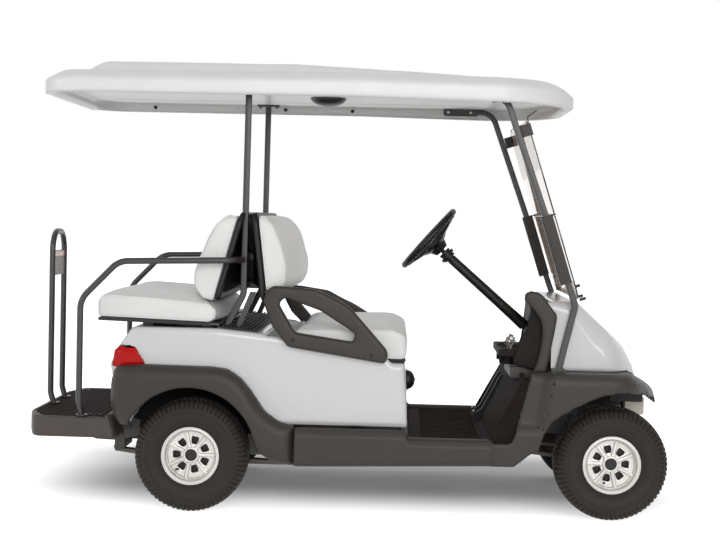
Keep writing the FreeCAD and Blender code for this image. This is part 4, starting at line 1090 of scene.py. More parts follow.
FAR_ROWS = ahead([
    (-272, 848, 14), (-240, 844, 14), (-227, 798, 14), (-235, 745, 40), (-262, 577, 0), (-312, 577, 0),
    (-292, 650, 40), (-281, 752, 40)])
DASH_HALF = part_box("dashboard")[1].y
CUP_X = FRONT - 0.402
CUP_ROWS = (-0.340, -0.160)
CUP_TOP, CUP_FLOOR = 0.668, 0.606
CUP_RADIUS = 0.036
WHEEL_CENTRE = middle_of("steering_wheel")
COLUMN_AXIS = Vector((0.754, 0, -0.657)).normalized()


def dashboard_field(ends):
    """The dashboard's two ends, or the panel between them with its bins and right wall."""
    sides = (BAND_ROWS, WALL_ROWS, PANEL_ROWS, FAR_ROWS)
    band_side, wall_side, panel, far = (from_side(rows, 8) for rows in sides)
    bins = [block_field((FRONT - 0.30, low, 0.66), (FRONT - 0.258, low + 0.27, 0.79), 0.012)
            for low in (-0.42, -0.10)]

    def field(x, y, z):
        if ends:
            return np.minimum(meet(band_side(x, y, z), band(y, -DASH_HALF, -0.454), 0.012),
                              meet(far(x, y, z), band(y, 0.456, DASH_HALF), 0.010))
        out = meet(panel(x, y, z), band(y, -0.458, 0.460), 0.004)
        for one in bins:
            out = cut(out, one(x, y, z), 0.004)
        return join(out, meet(wall_side(x, y, z), band(y, -0.468, -0.450), 0.004), 0.006)
    return field


def tray_field():
    """The cup tray: a block with two wells and a shelf between them."""
    low, high = (FRONT - 0.451, -0.450, 0.636), (FRONT - 0.330, -0.050, CUP_TOP)
    tray = block_field(low, high, 0.007)

    def field(x, y, z):
        out = tray(x, y, z)
        wells = [np.sqrt((x - CUP_X) ** 2 + (y - at) ** 2) for at in CUP_ROWS]
        around = np.minimum(*wells)
        walls = meet(around - CUP_RADIUS - 0.005, band(z, CUP_FLOOR - 0.005, CUP_TOP - 0.004), 0.004)
        out = join(out, walls, 0.004)
        out = cut(out, meet(around - CUP_RADIUS, CUP_FLOOR - z), 0.0025)
        shelf = meet(band(x, FRONT - 0.443, FRONT - 0.36), band(y, -0.285, -0.215), 0.008)
        return cut(out, meet(shelf, 0.650 - z), 0.003)
    return field


def steering_wheel_shape():
    """The wheel about +Z: a gripped rim, three dished spokes and a deep hub."""
    def field(x, y, z):
        radius, angle = np.sqrt(x * x + y * y), np.arctan2(y, x)
        grip = 0.0009 * np.cos(44 * angle) * (0.5 - 0.5 * np.sign(z + 0.002))
        rim = np.sqrt((radius - 0.160) ** 2 + z * z) - 0.0134 - grip
        level = -0.046 + 0.236 * (radius - 0.004)
        out = rim
        for turn in (90, 210, 330):
            a = math.radians(turn)
            run, beside = x * math.cos(a) + y * math.sin(a), np.abs(-x * math.sin(a) + y * math.cos(a))
            spoke = meet(beside - (0.030 - 0.09 * (run - 0.03) + 0.45 * (run - 0.085) ** 2),
                         band(z, level - 0.008, 0.45 * level + 0.003), 0.005)
            spoke = meet(spoke, band(run, 0.0, 0.158))
            out = join(out, spoke, 0.008)
        hub = meet(radius - (0.032 + 0.024 * (z + 0.082) / 0.055), band(z, -0.082, -0.026), 0.006)
        pad = np.sqrt(radius ** 2 + ((z + 0.034) * 3.0) ** 2) - 0.070
        return join(join(out, hub, 0.012), pad, 0.006)
    return surfaced(field, (-0.173, -0.173, -0.084), (0.173, 0.173, 0.014), 0.0042)


def on_column(distance):
    """A point on the steering axis, at a distance below the rim of the wheel."""
    return Vector((FRONT - 0.730, WHEEL_CENTRE.y, 1.095)) + COLUMN_AXIS * distance


class GOLFCART_OT_dashboard(Operator):
    """Dashboard with pockets, cup tray and net"""
    bl_idname = "golf_cart.dashboard"
    bl_label = "Dashboard"

    def execute(self, context):
        low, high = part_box("dashboard")
        ends = dashboard_field(True)
        dash = [surfaced(ends, (FRONT - 0.36, side, 0.57), (high.x, side + 0.05, high.z), 0.0078)
                for side in (low.y, high.y - 0.05)]
        piece("dashboard_band", dash[0], cladding_finish(), "dashboard")
        panel = surfaced(dashboard_field(False), (FRONT - 0.4, -0.47, 0.57), (high.x, 0.465, high.z), 0.0080)
        # Darker plastic of the pockets, the cup tray and the panel between the ends. On the far end of the
        # dashboard it is painted shade, because that end is the same moulding as the near one.
        pocket_and_far_end_shade_finish = finish("pocket_plastic_and_far_end_shade", srgb(24, 20, 18), 0.6, grain=1400, cells=0.5, depth=0.0003,
                               shade=0.2, specular=0.15)
        # dash[1] is the far end of the dashboard. Its darker colour is painted shade next to the near end's
        # cladding.
        piece("dashboard_panel_and_shaded_far_end", [panel, dash[1]], pocket_and_far_end_shade_finish)
        tray = surfaced(tray_field(), (FRONT - 0.451, -0.450, CUP_FLOOR - 0.005),
                        (FRONT - 0.33, -0.05, CUP_TOP), 0.0042)
        piece("cup_tray", tray, pocket_and_far_end_shade_finish)
        lower = plate(ahead([(-404, 553, 6), (-404, 599, 6), (-304, 599, 4), (-306, 553, 4)]), -0.4475, -0.10)
        lid = plate(ahead([(-408, 600, 3), (-408, 607, 3), (-302, 607, 3), (-302, 600, 3)]), -0.4475, -0.097)
        lower_finish = finish("lower_box_plastic", srgb(42, 37, 34), 0.5, grain=1300, cells=0.4,
                              depth=0.0003, shade=0.1)
        piece("lower_box", [lower, lid], lower_finish, sharp=40, bevel=0.002)
        rng = np.random.default_rng(4)
        strands = []
        for i in range(13):
            y = -0.44 + 0.028 * i
            path = [(FRONT - 0.384 - 0.022 * math.sin(math.pi * s) + 0.003 * rng.standard_normal(),
                     y + 0.010 * math.sin(7 * s + i), 0.624 + 0.080 * s) for s in np.linspace(0, 1, 10)]
            strands.append(swept(path, round_section(0.0016, 6)))
        for i in range(7):
            s = i / 6
            path = [(FRONT - 0.385 - 0.022 * math.sin(math.pi * s) + 0.004 * rng.standard_normal(), y,
                     0.624 + 0.080 * s + 0.003 * rng.standard_normal())
                    for y in np.linspace(-0.444, -0.10, 26)]
            strands.append(swept(path, round_section(0.0017, 6)))
        net_finish = finish("storage_net_cord", srgb(150, 140, 134), 0.35, grain=2500,
                            depth=0.0003, shade=0.3)
        piece("storage_net", strands, net_finish)
        return {"FINISHED"}


class GOLFCART_OT_steering(Operator):
    """Steering wheel, column, pedals and direction selector"""
    bl_idname = "golf_cart.steering"
    bl_label = "Steering and pedals"

    def execute(self, context):
        dark = dark_finish()
        turn = along(on_column(0), -COLUMN_AXIS)
        piece("steering_wheel_grip", placed(steering_wheel_shape(), turn), dark,
              "steering_wheel", "steering_wheel_body")
        kept("steering_column", dark)
        collar = turned([(0.0265, 0.0), (0.0285, 0.002), (0.0285, 0.008), (0.0265, 0.010), (0.0265, 0.030),
                         (0.029, 0.032), (0.029, 0.038), (0.0265, 0.040)], 32)
        collar = placed(collar, along(on_column(0.092), COLUMN_AXIS))
        tube = [(0.0200, 0.0), (0.0212, 0.0015), (0.0226, 0.30), (0.0248, 0.44), (0.0240, 0.442)]
        jacket = placed(turned(tube, 32), along(on_column(0.135), COLUMN_AXIS))
        side = Vector((0, -1, 0))
        over = Vector((COLUMN_AXIS.z, 0, -COLUMN_AXIS.x))
        heads = (0.112, side, 0.007), (0.112, -over, 0.010), (0.118, over, 0.010)
        bolts = [hexagon(on_column(down) + axis * 0.026, axis, 0.013, tall) for down, axis, tall in heads]
        piece("column_fittings", [collar, jacket] + bolts, dark, sharp=35)
        kept("pedals", dark, 0.002)
        pads = []
        slope = Vector((0.028, 0, -0.030)).normalized()
        tread = box_shape((-0.0015, -0.0018, -0.036), (0.0015, 0.0018, 0.036), 0.0006)
        for y in (0.196, 0.336):
            for i in range(6):
                centre = Vector((FRONT - 0.5175, y, 0.3385)) + slope * (0.004 + 0.0062 * i)
                place = Matrix.Translation(centre) @ slope.to_track_quat("X", "Y").to_matrix().to_4x4()
                pads.append(placed(tread, place))
        piece("pedal_treads", pads, dark)
        low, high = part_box("direction_selector")
        knob = turned([(0.040, 0), (0.0405, 0.005), (0.038, 0.014), (0.032, 0.0235), (0.022, 0.0305),
                       (0.010, 0.0335), (0.0, 0.034)], 48)
        bar = box_shape((-0.0045, -0.028, 0.024), (0.0045, 0.028, 0.0365), 0.003)
        middle_z = (low.z + high.z) / 2
        wall_lean = (BODY_FOOT[0] - BODY_FRONT_TOP[0]) / (BODY_FRONT_TOP[1] - BODY_FOOT[1])
        foot_x, foot_z = BODY_FOOT[0] / 1000, BODY_FOOT[1] / 1000
        base = (REAR + foot_x - wall_lean * (middle_z - foot_z), (low.y + high.y) / 2, middle_z)
        place = along(base, (1, 0, wall_lean))
        ring = turned([(0.044, -0.003), (0.044, 0.002), (0.042, 0.0035), (0.036, 0.0035)], 48)
        piece("selector_knob", [placed(part, place) for part in (knob, bar, ring)], dark,
              "direction_selector", sharp=35)
        return {"FINISHED"}


# ---- seats ----
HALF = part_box("front_seat_cushion")[1].y - 0.007
FRONT_CUSHION = behind([
    (390, 619, 10), (390, 728, 30), (470, 733, 60), (785, 739, 45), (841, 716, 34), (850, 619, 24)])
FRONT_CUSHION_MIDDLE = behind([
    (390, 619, 10), (390, 740, 40), (775, 750, 60), (842, 730, 44), (850, 619, 24)])
REAR_CUSHION = behind([
    (-394, 762, 12), (-395, 824, 18), (-379, 848, 22), (-339, 853, 50), (-187, 846, 100), (-34, 834, 80),
    (54, 824, 25), (84, 800, 22), (82, 768, 20), (56, 748, 8)])
REAR_CUSHION_MIDDLE = behind([
    (-384, 762, 15), (-386, 856, 40), (-285, 868, 80), (0, 853, 80), (66, 830, 40), (92, 794, 30),
    (90, 747, 10)])
FRONT_BACK = behind([
    (241, 1178, 10), (266, 1184, 20), (302, 1143, 60), (334, 1072, 90), (358, 985, 60), (358, 915, 25),
    (338, 884, 22), (278, 880, 8)])
FRONT_BACK_MIDDLE = behind([
    (241, 1176, 20), (296, 1190, 40), (354, 1126, 90), (399, 984, 100), (394, 878, 25), (279, 878, 10)])
REAR_BACK = behind([
    (162, 1174, 10), (122, 1188, 34), (81, 1148, 60), (32, 1046, 100), (-8, 935, 60), (-4, 888, 30),
    (26, 845, 22), (68, 833, 8)])
REAR_BACK_MIDDLE = behind([
    (162, 1174, 10), (112, 1188, 40), (40, 1108, 120), (-36, 934, 90), (-20, 846, 36), (68, 833, 8)])
ROUND_INSET = 0.293  # how far inside its corner a rounded edge lies, in radii
SEAM_STEP = 0.008


def inset_points(points, distance):
    """A closed outline moved inwards, whichever way round it runs."""
    ahead_of, before = np.roll(points, -1, 0), np.roll(points, 1, 0)
    run = ahead_of - before
    normal = np.stack([-run[:, 1], run[:, 0]], 1)
    normal /= np.maximum(np.linalg.norm(normal, axis=1), 1e-9)[:, None]
    area = np.sum(points[:, 0] * ahead_of[:, 1] - ahead_of[:, 0] * points[:, 1])
    return points + normal * distance * (1 if area > 0 else -1)


def evenly(points, gap, closed=True):
    """Points at even gaps along a line."""
    points = np.array(points, float)
    if closed:
        points = np.concatenate([points, points[:1]])
    lengths = np.concatenate([[0], np.cumsum(np.linalg.norm(np.diff(points, axis=0), axis=1))])
    count = max(int(lengths[-1] / gap), 4)
    at = np.linspace(0, lengths[-1], count, endpoint=not closed)
    return np.stack([np.interp(at, lengths, points[:, i]) for i in range(points.shape[1])], 1)


def cushion_field(rows, middle, other, edge):
    """A stuffed form: a side outline at its ends, a fuller one in the middle, and another outline across."""
    ends, centre = from_side(rows, 8), from_side(middle, 8)

    def field(x, y, z):
        share = (1 - np.clip(np.abs(y) / 0.5, 0, 1) ** 3.2)
        return meet(ends(x, y, z) * (1 - share) + centre(x, y, z) * share, other(x, y, z), edge)
    return field


def stuffed(shape, seams, keep):
    """Swells a form with cloth pressure between its pinned seams; keep says which points stay put."""
    points, faces = shape
    mesh = mesh_of("stuffing", shape)
    thing = bpy.data.objects.new("stuffing", mesh)
    bpy.context.scene.collection.objects.link(thing)
    held = thing.vertex_groups.new(name="held")
    nearest = np.full(len(points), 1e9)
    for seam in seams:
        for start in range(0, len(seam), 200):
            part = seam[start:start + 200]
            nearest = np.minimum(nearest, np.sqrt(((points[:, None, :] - part[None]) ** 2).sum(2)).min(1))
    weight = np.clip(1.6 - nearest / 0.009, 0, 1)
    weight[keep(points)] = 1
    for level in range(1, 11):
        chosen = np.nonzero(np.round(weight * 10) == level)[0]
        if len(chosen):
            held.add([int(i) for i in chosen], level / 10, "REPLACE")
    cloth = thing.modifiers.new("stuffing", "CLOTH")
    settings = cloth.settings
    settings.quality = 4
    settings.mass = 0.3
    settings.tension_stiffness = settings.compression_stiffness = 12
    settings.shear_stiffness = 6
    settings.bending_stiffness = 0.6
    settings.use_pressure = True
    settings.uniform_pressure_force = 4
    settings.effector_weights.gravity = 0
    settings.vertex_group_mass = "held"
    cloth.collision_settings.use_collision = False
    scene = bpy.context.scene
    for step in range(1, 13):
        scene.frame_set(step)
    view = bpy.context.evaluated_depsgraph_get()
    result = thing.evaluated_get(view).to_mesh()
    swollen = np.empty(len(points) * 3)
    result.vertices.foreach_get("co", swollen)
    thing.evaluated_get(view).to_mesh_clear()
    scene.frame_set(1)
    bpy.data.objects.remove(thing)
    shift = swollen.reshape(-1, 3) - points
    size = np.linalg.norm(shift, axis=1)
    limit = sizes().swell
    shift *= (limit * np.tanh(size / limit) / np.maximum(size, 1e-9))[:, None]
    mesh.vertices.foreach_set("co", np.ascontiguousarray(points + shift, np.float32).ravel())
    mesh.update()
    return mesh


def drawn_in(seam, distance, corner, share):
    """Draws a welt inwards where it rounds a corner, by its distance from the edge."""
    into = np.clip(corner - distance, 0, corner)
    seam[:, 1] -= np.sign(seam[:, 1]) * (corner - np.sqrt(corner ** 2 - into ** 2)) * share


def end_seams(rows, y, inset):
    """The welt round each end panel of a cushion."""
    ring = evenly(inset_points(rounded_points(rows, 8), inset), SEAM_STEP)
    return [np.stack([ring[:, 0], np.full(len(ring), side * y), ring[:, 1]], 1) for side in (-1, 1)]


def welt(paths):
    """A cord along each seam."""
    return combined([swept(path, round_section(sizes().seam / 2, 8), True) for path in paths])


class GOLFCART_OT_seats(Operator):
    """Four stuffed cushions with welted seams"""
    bl_idname = "golf_cart.seats"
    bl_label = "Cushions"

    def execute(self, context):
        edge = 0.018
        sunk = ROUND_INSET * edge
        side_at = HALF - sunk
        vinyl = vinyl_finish()
        cushions = [
            ("front_seat_cushion", "front_seat", FRONT_CUSHION, FRONT_CUSHION_MIDDLE, 0.390, 0.848,
             lambda p: p[:, 2] < 0.628),
            ("rear_seat_cushion", "root", REAR_CUSHION, REAR_CUSHION_MIDDLE, -0.395, 0.090,
             lambda p: p[:, 2] < 0.7715 - 0.0342 * (p[:, 0] - REAR + 0.37)),
        ]
        corner_size = 0.024
        for node, body, rows, middle, start, end, keep in cushions:
            low_x, high_x, size = start * 1000 - 2, end * 1000 + 2, corner_size * 1000
            plan = from_above(behind(rectangle((low_x, -1000 * HALF), (high_x, 1000 * HALF), size)))
            low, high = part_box(node)
            shape = surfaced(cushion_field(rows, middle, plan, edge), (REAR + start - 0.01, low.y, low.z),
                             (REAR + end + 0.01, high.y, high.z + 0.01), 0.0092)
            seams = end_seams(rows, side_at, sunk)
            for seam in seams:
                for x_edge, sign in ((REAR + start, 1), (REAR + end, -1)):
                    drawn_in(seam, sign * (seam[:, 0] - x_edge), corner_size - sunk, 0.9)
            mesh = stuffed(shape, seams, keep)
            cover = piece(node + "_cover", mesh, vinyl, node, body)
            piece(node + "_welt", welt(seams), vinyl, body=body)
        backs = [
            ("front_seat_back", FRONT_BACK, FRONT_BACK_MIDDLE, 878, 1189, 0.986, 1),
            ("rear_seat_back", REAR_BACK, REAR_BACK_MIDDLE, 833, 1187, 0.986, -1),
        ]
        for node, rows, middle, z_low, z_high, seam_z, facing in backs:
            corners = rectangle((-1000 * HALF, z_low - 4), (1000 * HALF, z_high + 4), 30, 60)
            outline = from_front(plain(corners))
            low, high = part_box(node)
            shape = surfaced(cushion_field(rows, middle, outline, edge), (low.x - 0.04, low.y, low.z),
                             (high.x + 0.01, high.y, high.z), 0.0092)
            seams = end_seams(rows, side_at, sunk)
            for seam in seams:
                drawn_in(seam, z_high / 1000 - seam[:, 2], 0.060 - sunk, 0.85)
            points = rounded_points(rows, 8)
            front_x = side_crossing(points, seam_z, facing) - 0.014 * facing
            back_x = side_crossing(points, seam_z, -facing) + 0.012 * facing
            across = [evenly([(x, side * (HALF + 0.001), seam_z) for x in (back_x, front_x)], SEAM_STEP,
                             False) for side in (-1, 1)]
            mesh = stuffed(shape, seams + across, lambda p: behind_back(p, rows))
            cover = piece(node + "_cover", mesh, vinyl, node)
            thread = round_section(sizes().seam / 2.4, 8)
            lines = combined([welt(seams)] + [swept(line, thread) for line in across if facing < 0])
            piece(node + "_welt", lines, vinyl)
        return {"FINISHED"}


def side_crossing(points, level, facing):
    """Where an outline crosses a level, on the front or the back of a seat back."""
    crossings = []
    for a, b in zip(np.roll(points, 1, 0), points):
        if (a[1] - level) * (b[1] - level) <= 0 and a[1] != b[1]:
            crossings.append(a[0] + (b[0] - a[0]) * (level - a[1]) / (b[1] - a[1]))
    return max(crossings) if facing > 0 else min(crossings)


def behind_back(points, rows):
    """The points of a seat back that rest on its shell."""
    first, last = np.array(rows[0][:2]), np.array(rows[-1][:2])
    run = (last - first) / np.linalg.norm(last - first)
    away = (points[:, 0] - first[0]) * run[1] - (points[:, 2] - first[1]) * run[0]
    return np.abs(away) < 0.008


def shell_field(rows, bulge_to, facing):
    """A moulded seat shell: a rolled rim round a back that bulges towards the struts."""
    first, last = np.array(rows[0][:2]), np.array(rows[-1][:2])
    slope = (last[0] - first[0]) / (last[1] - first[1])
    outline = from_front(plain(rectangle((-497, 838), (497, 1192), 30, 60)))

    def field(x, y, z):
        face = first[0] + slope * (z - first[1]) - 0.002 * facing
        across = np.clip(1 - (np.abs(y) / 0.44) ** 4, 0, 1)
        up = ease((z - 0.855) / 0.05) * ease((1.19 - z) / 0.06)
        room = np.maximum((face - bulge_to) * facing, 0.014)
        depth = 0.014 + (room - 0.014) * across * up
        rim = np.where(outline(x, y, z) > -0.018, 0.008, 0.0)
        flat = meet((x - face) * facing, (face - (depth + rim) * facing - x) * facing, 0.006)
        return meet(flat, outline(x, y, z), 0.008)
    return field


class GOLFCART_OT_seat_frames(Operator):
    """Moulded seat shells, the tube frame that holds them and the ribbed tray between"""
    bl_idname = "golf_cart.seat_frames"
    bl_label = "Seat shells and frame"

    def execute(self, context):
        low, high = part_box("seat_shells")
        shells = []
        for rows, bulge, facing, start, end in ((FRONT_BACK, 0.196, 1, 0.18, 0.29),
                                                (REAR_BACK, 0.178, -1, 0.055, 0.19)):
            field = shell_field(rows, REAR + bulge, facing)
            shells.append(surfaced(field, (REAR + start, low.y, 0.832), (REAR + end, high.y, 1.195), 0.0088))
        piece("seat_shell_mouldings", shells, shell_finish(), "seat_shells")
        kept("seat_frame", tube_finish(), 0.003)
        kept("bag_tray", shell_finish(), 0.002)
        kept("front_seat_base", shell_finish(), 0.003)
        ribs = []
        for i in range(9):
            x = REAR + 0.112 + 0.0155 * i
            top = 0.7385 - 0.0959 * max(0, x - REAR - 0.104)
            ribs.append(box_shape((x - 0.003, -0.492, top - 0.004), (x + 0.003, 0.492, top + 0.0045), 0.001))
        piece("bag_tray_ribs", ribs, shell_finish(), sharp=40)
        strips = [box_shape((REAR + 0.73, -0.488, 0.6015), (REAR + 0.836, 0.488, 0.6065), 0.001),
                  plate(behind([(-388, 748, 2), (-388, 761, 2), (56, 747, 2), (56, 736, 2)]), -0.499, 0.499)]
        hinge = [disc((REAR + 0.838, y - 0.03, 0.6065), (0, 1, 0), 0.0042, 0.06, 0.0008, 16)
                 for y in (-0.36, 0.36)]
        piece("seat_hinge_pins", hinge, dark_finish(), sharp=40)
        piece("seat_rest_strip", strips, dark_finish(), sharp=40)
        return {"FINISHED"}


ARM_OUTER = behind([
    (273, 845, 30), (300, 905, 40), (480, 895, 90), (610, 836, 180), (774, 652, 42), (762, 606, 18),
    (376, 664, 30), (310, 745, 60)])
ARM_HOLE = behind([
    (335, 835, 20), (360, 858, 18), (500, 810, 80), (642, 722, 12), (630, 690, 12), (403, 722, 25)])


class GOLFCART_OT_armrests(Operator):
    """Moulded armrests of the front seat"""
    bl_idname = "golf_cart.armrests"
    bl_label = "Armrests"

    def execute(self, context):
        outer, hole = from_side(ARM_OUTER, 8), from_side(ARM_HOLE)
        edge = sizes().arm_edge

        def field(x, y, z):
            out = meet(cut(outer(x, y, z), hole(x, y, z)), y - 0.566, edge)
            return meet(out, 0.528 - y, 0.004)

        low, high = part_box("armrests")
        arm = surfaced(field, (low.x, 0.52, low.z), high, 0.0068)
        points, faces = arm
        fall = 0.044 + 0.09 * np.clip(points[:, 0] - REAR - 0.35, 0, 0.4)
        settled = points - np.outer(fall * ease((points[:, 2] - 0.68) / 0.2), (0, 0, 1))
        piece("armrest_pair", [mirrored(arm), (settled, faces)], cladding_finish(), "armrests")
        pads = [disc((REAR + x, 0.5665, z), (0, 1, 0), 0.007, 0.002, 0.0008, 20)
                for x, z in ((0.395, 0.693), (0.705, 0.640))]
        piece("armrest_plugs", both(*pads), shell_finish(), sharp=40)
        return {"FINISHED"}


# ---- rear step, hoop and handrails ----
STEP_ROWS = behind([
    (-690, 362, 8), (-345, 360, 4), (-345, 372, 3), (-332, 372, 4), (-308, 278, 5), (-345, 276, 4),
    (-700, 277, 8)])
STEP_PLAN = behind([
    (-300, -505, 0), (-645, -505, 46), (-701, -300, 90), (-701, 300, 90), (-645, 505, 46), (-300, 505, 0)])
STEP_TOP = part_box("rear_step")[1].z
HOOP_X = middle_of("grab_hoop").x
TUBE = 0.0125


class GOLFCART_OT_rear_step(Operator):
    """Moulded step with its ribbed tread and the hanger below it"""
    bl_idname = "golf_cart.rear_step"
    bl_label = "Rear step"

    def execute(self, context):
        side, plan = from_side(STEP_ROWS), from_above(STEP_PLAN)
        low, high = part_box("rear_step")
        inner = block_field((REAR - 0.66, -0.488, 0.2), (REAR - 0.352, 0.488, STEP_TOP - 0.012), 0.01)

        def field(x, y, z):
            out = meet(side(x, y, z), plan(x, y, z), 0.012)
            out = cut(out, meet(inner(x, y, z), plan(x, y, z) + 0.014, 0.01), 0.003)
            tread = meet(meet(plan(x, y, z) + 0.020, x - REAR + 0.356), 0.3575 - z)
            return cut(out, tread, 0.002)

        shape = surfaced(field, (low.x, low.y, 0.27), (high.x + 0.03, high.y, 0.375), 0.0078)
        tread = []
        for i in range(15):
            x = REAR - 0.668 + 0.0215 * i
            reach = 0.478 if x > REAR - 0.60 else 0.478 - 1.9 * (REAR - 0.60 - x)
            tread.append(box_shape((x - 0.0093, -reach, 0.356), (x + 0.0093, reach, 0.3605), 0.0015))
        piece("rear_step_tread", tread, mat_finish(), sharp=40)
        bead = round_section(0.0045, 10)
        edges = [swept([(REAR - 0.341, y, 0.368), (REAR - 0.318, y, 0.282)], bead) for y in (-0.504, 0.504)]
        step_finish = finish("step_cladding", srgb(76, 70, 66), 0.46, grain=1500, cells=0.5, depth=0.00025,
                             dust=0.04, shade=0.1, mottle=5, specular=0.3)
        piece("rear_step_moulding", shape, step_finish, "rear_step")
        piece("rear_step_edges", edges, cladding_finish())
        hanger = behind([(-462, 290, 2), (-462, 286, 2), (-430, 247, 22), (-345, 244, 10), (-250, 262, 12),
                         (-215, 312, 10), (-262, 336, 8), (-330, 330, 8), (-336, 290, 2)])
        plates = [plate(hanger, -0.327, -0.320), plate(hanger, 0.320, 0.327)]
        for y in (-1, 1):
            for x, z in ((-0.285, 0.300), (-0.245, 0.296), (-0.318, 0.268)):
                plates.append(hexagon((REAR + x, y * 0.327, z), (0, y, 0), 0.016, 0.008))
            eye = turned([(0.008, -0.026), (0.0155, -0.026), (0.0155, 0.026), (0.008, 0.026)], 24,
                         closed=True)
            plates.append(placed(eye, along((REAR - 0.333, y * 0.302, 0.2175), (0, 1, 0))))
        piece("step_hangers", plates, frame_finish(), sharp=35)
        bolts = [hexagon((REAR + x + 0.022, y, STEP_TOP - 0.001), (0, 0, 1), 0.013, 0.006)
                 for x in (-0.44, -0.40) for y in (-0.47, 0.47)]
        bolts += [disc((REAR - 0.333, y * 0.276, 0.2175), (0, y, 0), 0.0078, 0.053, 0.001, 20)
                  for y in (-1, 1)]
        piece("step_bolts", bolts, dark_finish(), sharp=35)
        return {"FINISHED"}


class GOLFCART_OT_rails(Operator):
    """Grab hoop behind the step and the bent rails beside the rear seat"""
    bl_idname = "golf_cart.rails"
    bl_label = "Hoop and handrails"

    def execute(self, context):
        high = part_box("grab_hoop")[1]
        half, top = high.y - TUBE, high.z - TUBE
        side = [(HOOP_X + 0.016, -half, STEP_TOP - 0.010), (HOOP_X, -half, STEP_TOP + 0.045),
                (HOOP_X, -half, top)]
        hoop = bent_path(side + [(x, -y, z) for x, y, z in reversed(side)],
                         [0, 0.06, 0.085, 0.085, 0.06, 0], 14)
        feet = [plate(rectangle((HOOP_X - 0.006, y - 0.021), (HOOP_X + 0.038, y + 0.021), 0.006),
                      STEP_TOP - 0.001, STEP_TOP + 0.004, "Z") for y in (-half, half)]
        piece("grab_hoop_tube", [swept(hoop, round_section(TUBE, 20))] + feet, tube_finish(),
              "grab_hoop", sharp=50)
        panel = box_shape((HOOP_X - 0.004, -half + 0.005, 0.905),
                          (HOOP_X + 0.004, half - 0.005, 1.012), 0.002)
        hoop_panel = finish("hoop_panel_coat", srgb(112, 103, 98), 0.4, grain=1500, depth=0.0001, shade=0.08)
        piece("hoop_panel", panel, hoop_panel, sharp=40)
        strip = box_shape((HOOP_X - 0.0052, -half + 0.016, 0.986),
                          (HOOP_X + 0.0052, half - 0.016, 1.008), 0.001)
        strip_finish = finish("hoop_reflector_copper", srgb(196, 128, 88), 0.25, grain=1200, cells=1.0,
                              depth=0.0003, shade=0.3, coat=0.5)
        piece("hoop_reflector", strip, strip_finish, sharp=40)
        y_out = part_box("handrails")[1].y - TUBE
        rail = bent_path([(REAR - 0.450, y_out - 0.062, STEP_TOP - 0.003), (REAR - 0.450, y_out, 0.420),
                          (REAR - 0.450, y_out, 0.832), (REAR - 0.300, y_out, 0.987),
                          (REAR + 0.140, y_out, 1.000), (REAR + 0.185, 0.4525, 1.000)],
                         [0, 0.06, 0.095, 0.09, 0.045, 0], 12)
        flange = placed(turned([(TUBE, 0), (0.024, 0.001), (0.024, 0.005), (TUBE, 0.007)], 32),
                        along((REAR - 0.450, y_out - 0.062, STEP_TOP - 0.001), (0, 0, 1)))
        collar = placed(turned([(TUBE, 0), (0.0165, 0.001), (0.0165, 0.010), (TUBE, 0.012)], 32),
                        along((REAR + 0.181, 0.4625, 1.000), (0.26, -0.96, 0)))
        rail = combined([swept(rail, round_section(TUBE, 20)), flange, collar])
        piece("handrail_pair", both(rail), tube_finish(), "handrails", sharp=50)
        return {"FINISHED"}


# ---- lights ----
TAIL_ROWS = behind([
    (-327, 565, 6), (-318, 634, 12), (-286, 657, 10), (-234, 650, 6), (-190, 583, 4), (-204, 573, 0)])


class GOLFCART_OT_tail_lights(Operator):
    """Faceted tail lights on their gaskets"""
    bl_idname = "golf_cart.tail_lights"
    bl_label = "Tail lights"

    def execute(self, context):
        side, body, plan = from_side(TAIL_ROWS), from_side(BODY_ROWS), from_above(BODY_PLAN)
        edge = sizes().body_edge

        def skin(x, y, z):
            return meet(body(x, y, z), plan(x, y, z), edge)

        def lens(x, y, z):
            facet = (y - 0.541) + 0.6 * np.maximum(z - 0.628, 0) - 0.55 * np.minimum(x - REAR + 0.284, 0)
            facet = np.maximum(facet, y - 0.541 + 0.35 * np.maximum(0.588 - z, 0))
            out = meet(meet(side(x, y, z) + 0.002, facet, 0.002), 0.440 - y, 0.003)
            return cut(out, skin(x, y, z) + 0.001)

        def gasket(x, y, z):
            out = meet(side(x, y, z) - 0.0015, skin(x, y, z) - 0.0025, 0.002)
            out = meet(out, 0.436 - y, 0.002)
            return cut(out, skin(x, y, z) + 0.002)

        low, high = (REAR - 0.335, 0.43, 0.558), (REAR - 0.182, 0.545, 0.665)
        lens_shape = surfaced(lens, low, high, 0.0042)
        rim = surfaced(gasket, low, high, 0.0050)
        red = tinted("tail_lens_red", colours().lamp, 0.14, 0.05, 1.40)
        red.node_tree.nodes["Principled BSDF"].inputs["Specular IOR Level"].default_value = 0.22
        piece("tail_light_lenses", both(lens_shape), red, "tail_lights", sharp=28)
        piece("tail_light_gaskets", both(rim), dark_finish())
        return {"FINISHED"}


# ---- roof, struts and windshield ----
ROOF_LOW = ROOF_UNDER - 0.033
ROOF_TOP = [
    *ahead([(-156, 1711, 20), (-200, 1735, 60), (-300, 1742, 100)]), (0, 1.752, 2.0),
    *behind([(-554, 1742, 30), (-626, 1738, 10)])]
ROOF_ROWS = [
    *behind([(-626, 1641, 3), (-604, 1650, 0)]), (0, 1.651, 0.9),
    *ahead([(-420, 1641, 400), (-156, 1640, 3)]), *ROOF_TOP]
ROOF_SKIN = [*behind([(-626, 1400, 0)]), *ahead([(-156, 1400, 0)]), *ROOF_TOP]
CROWN_ROWS = [
    *behind([(-482, 1700, 0), (-470, 1758, 12), (-395, 1790, 60), (375, 1793, 300)]),
    *ahead([(-740, 1766, 300), (-365, 1740, 25), (-365, 1700, 0)])]
SCALLOP = REAR + 0.215
STRUT_LEAN = 0.3600
PANE_LEAN = 0.32


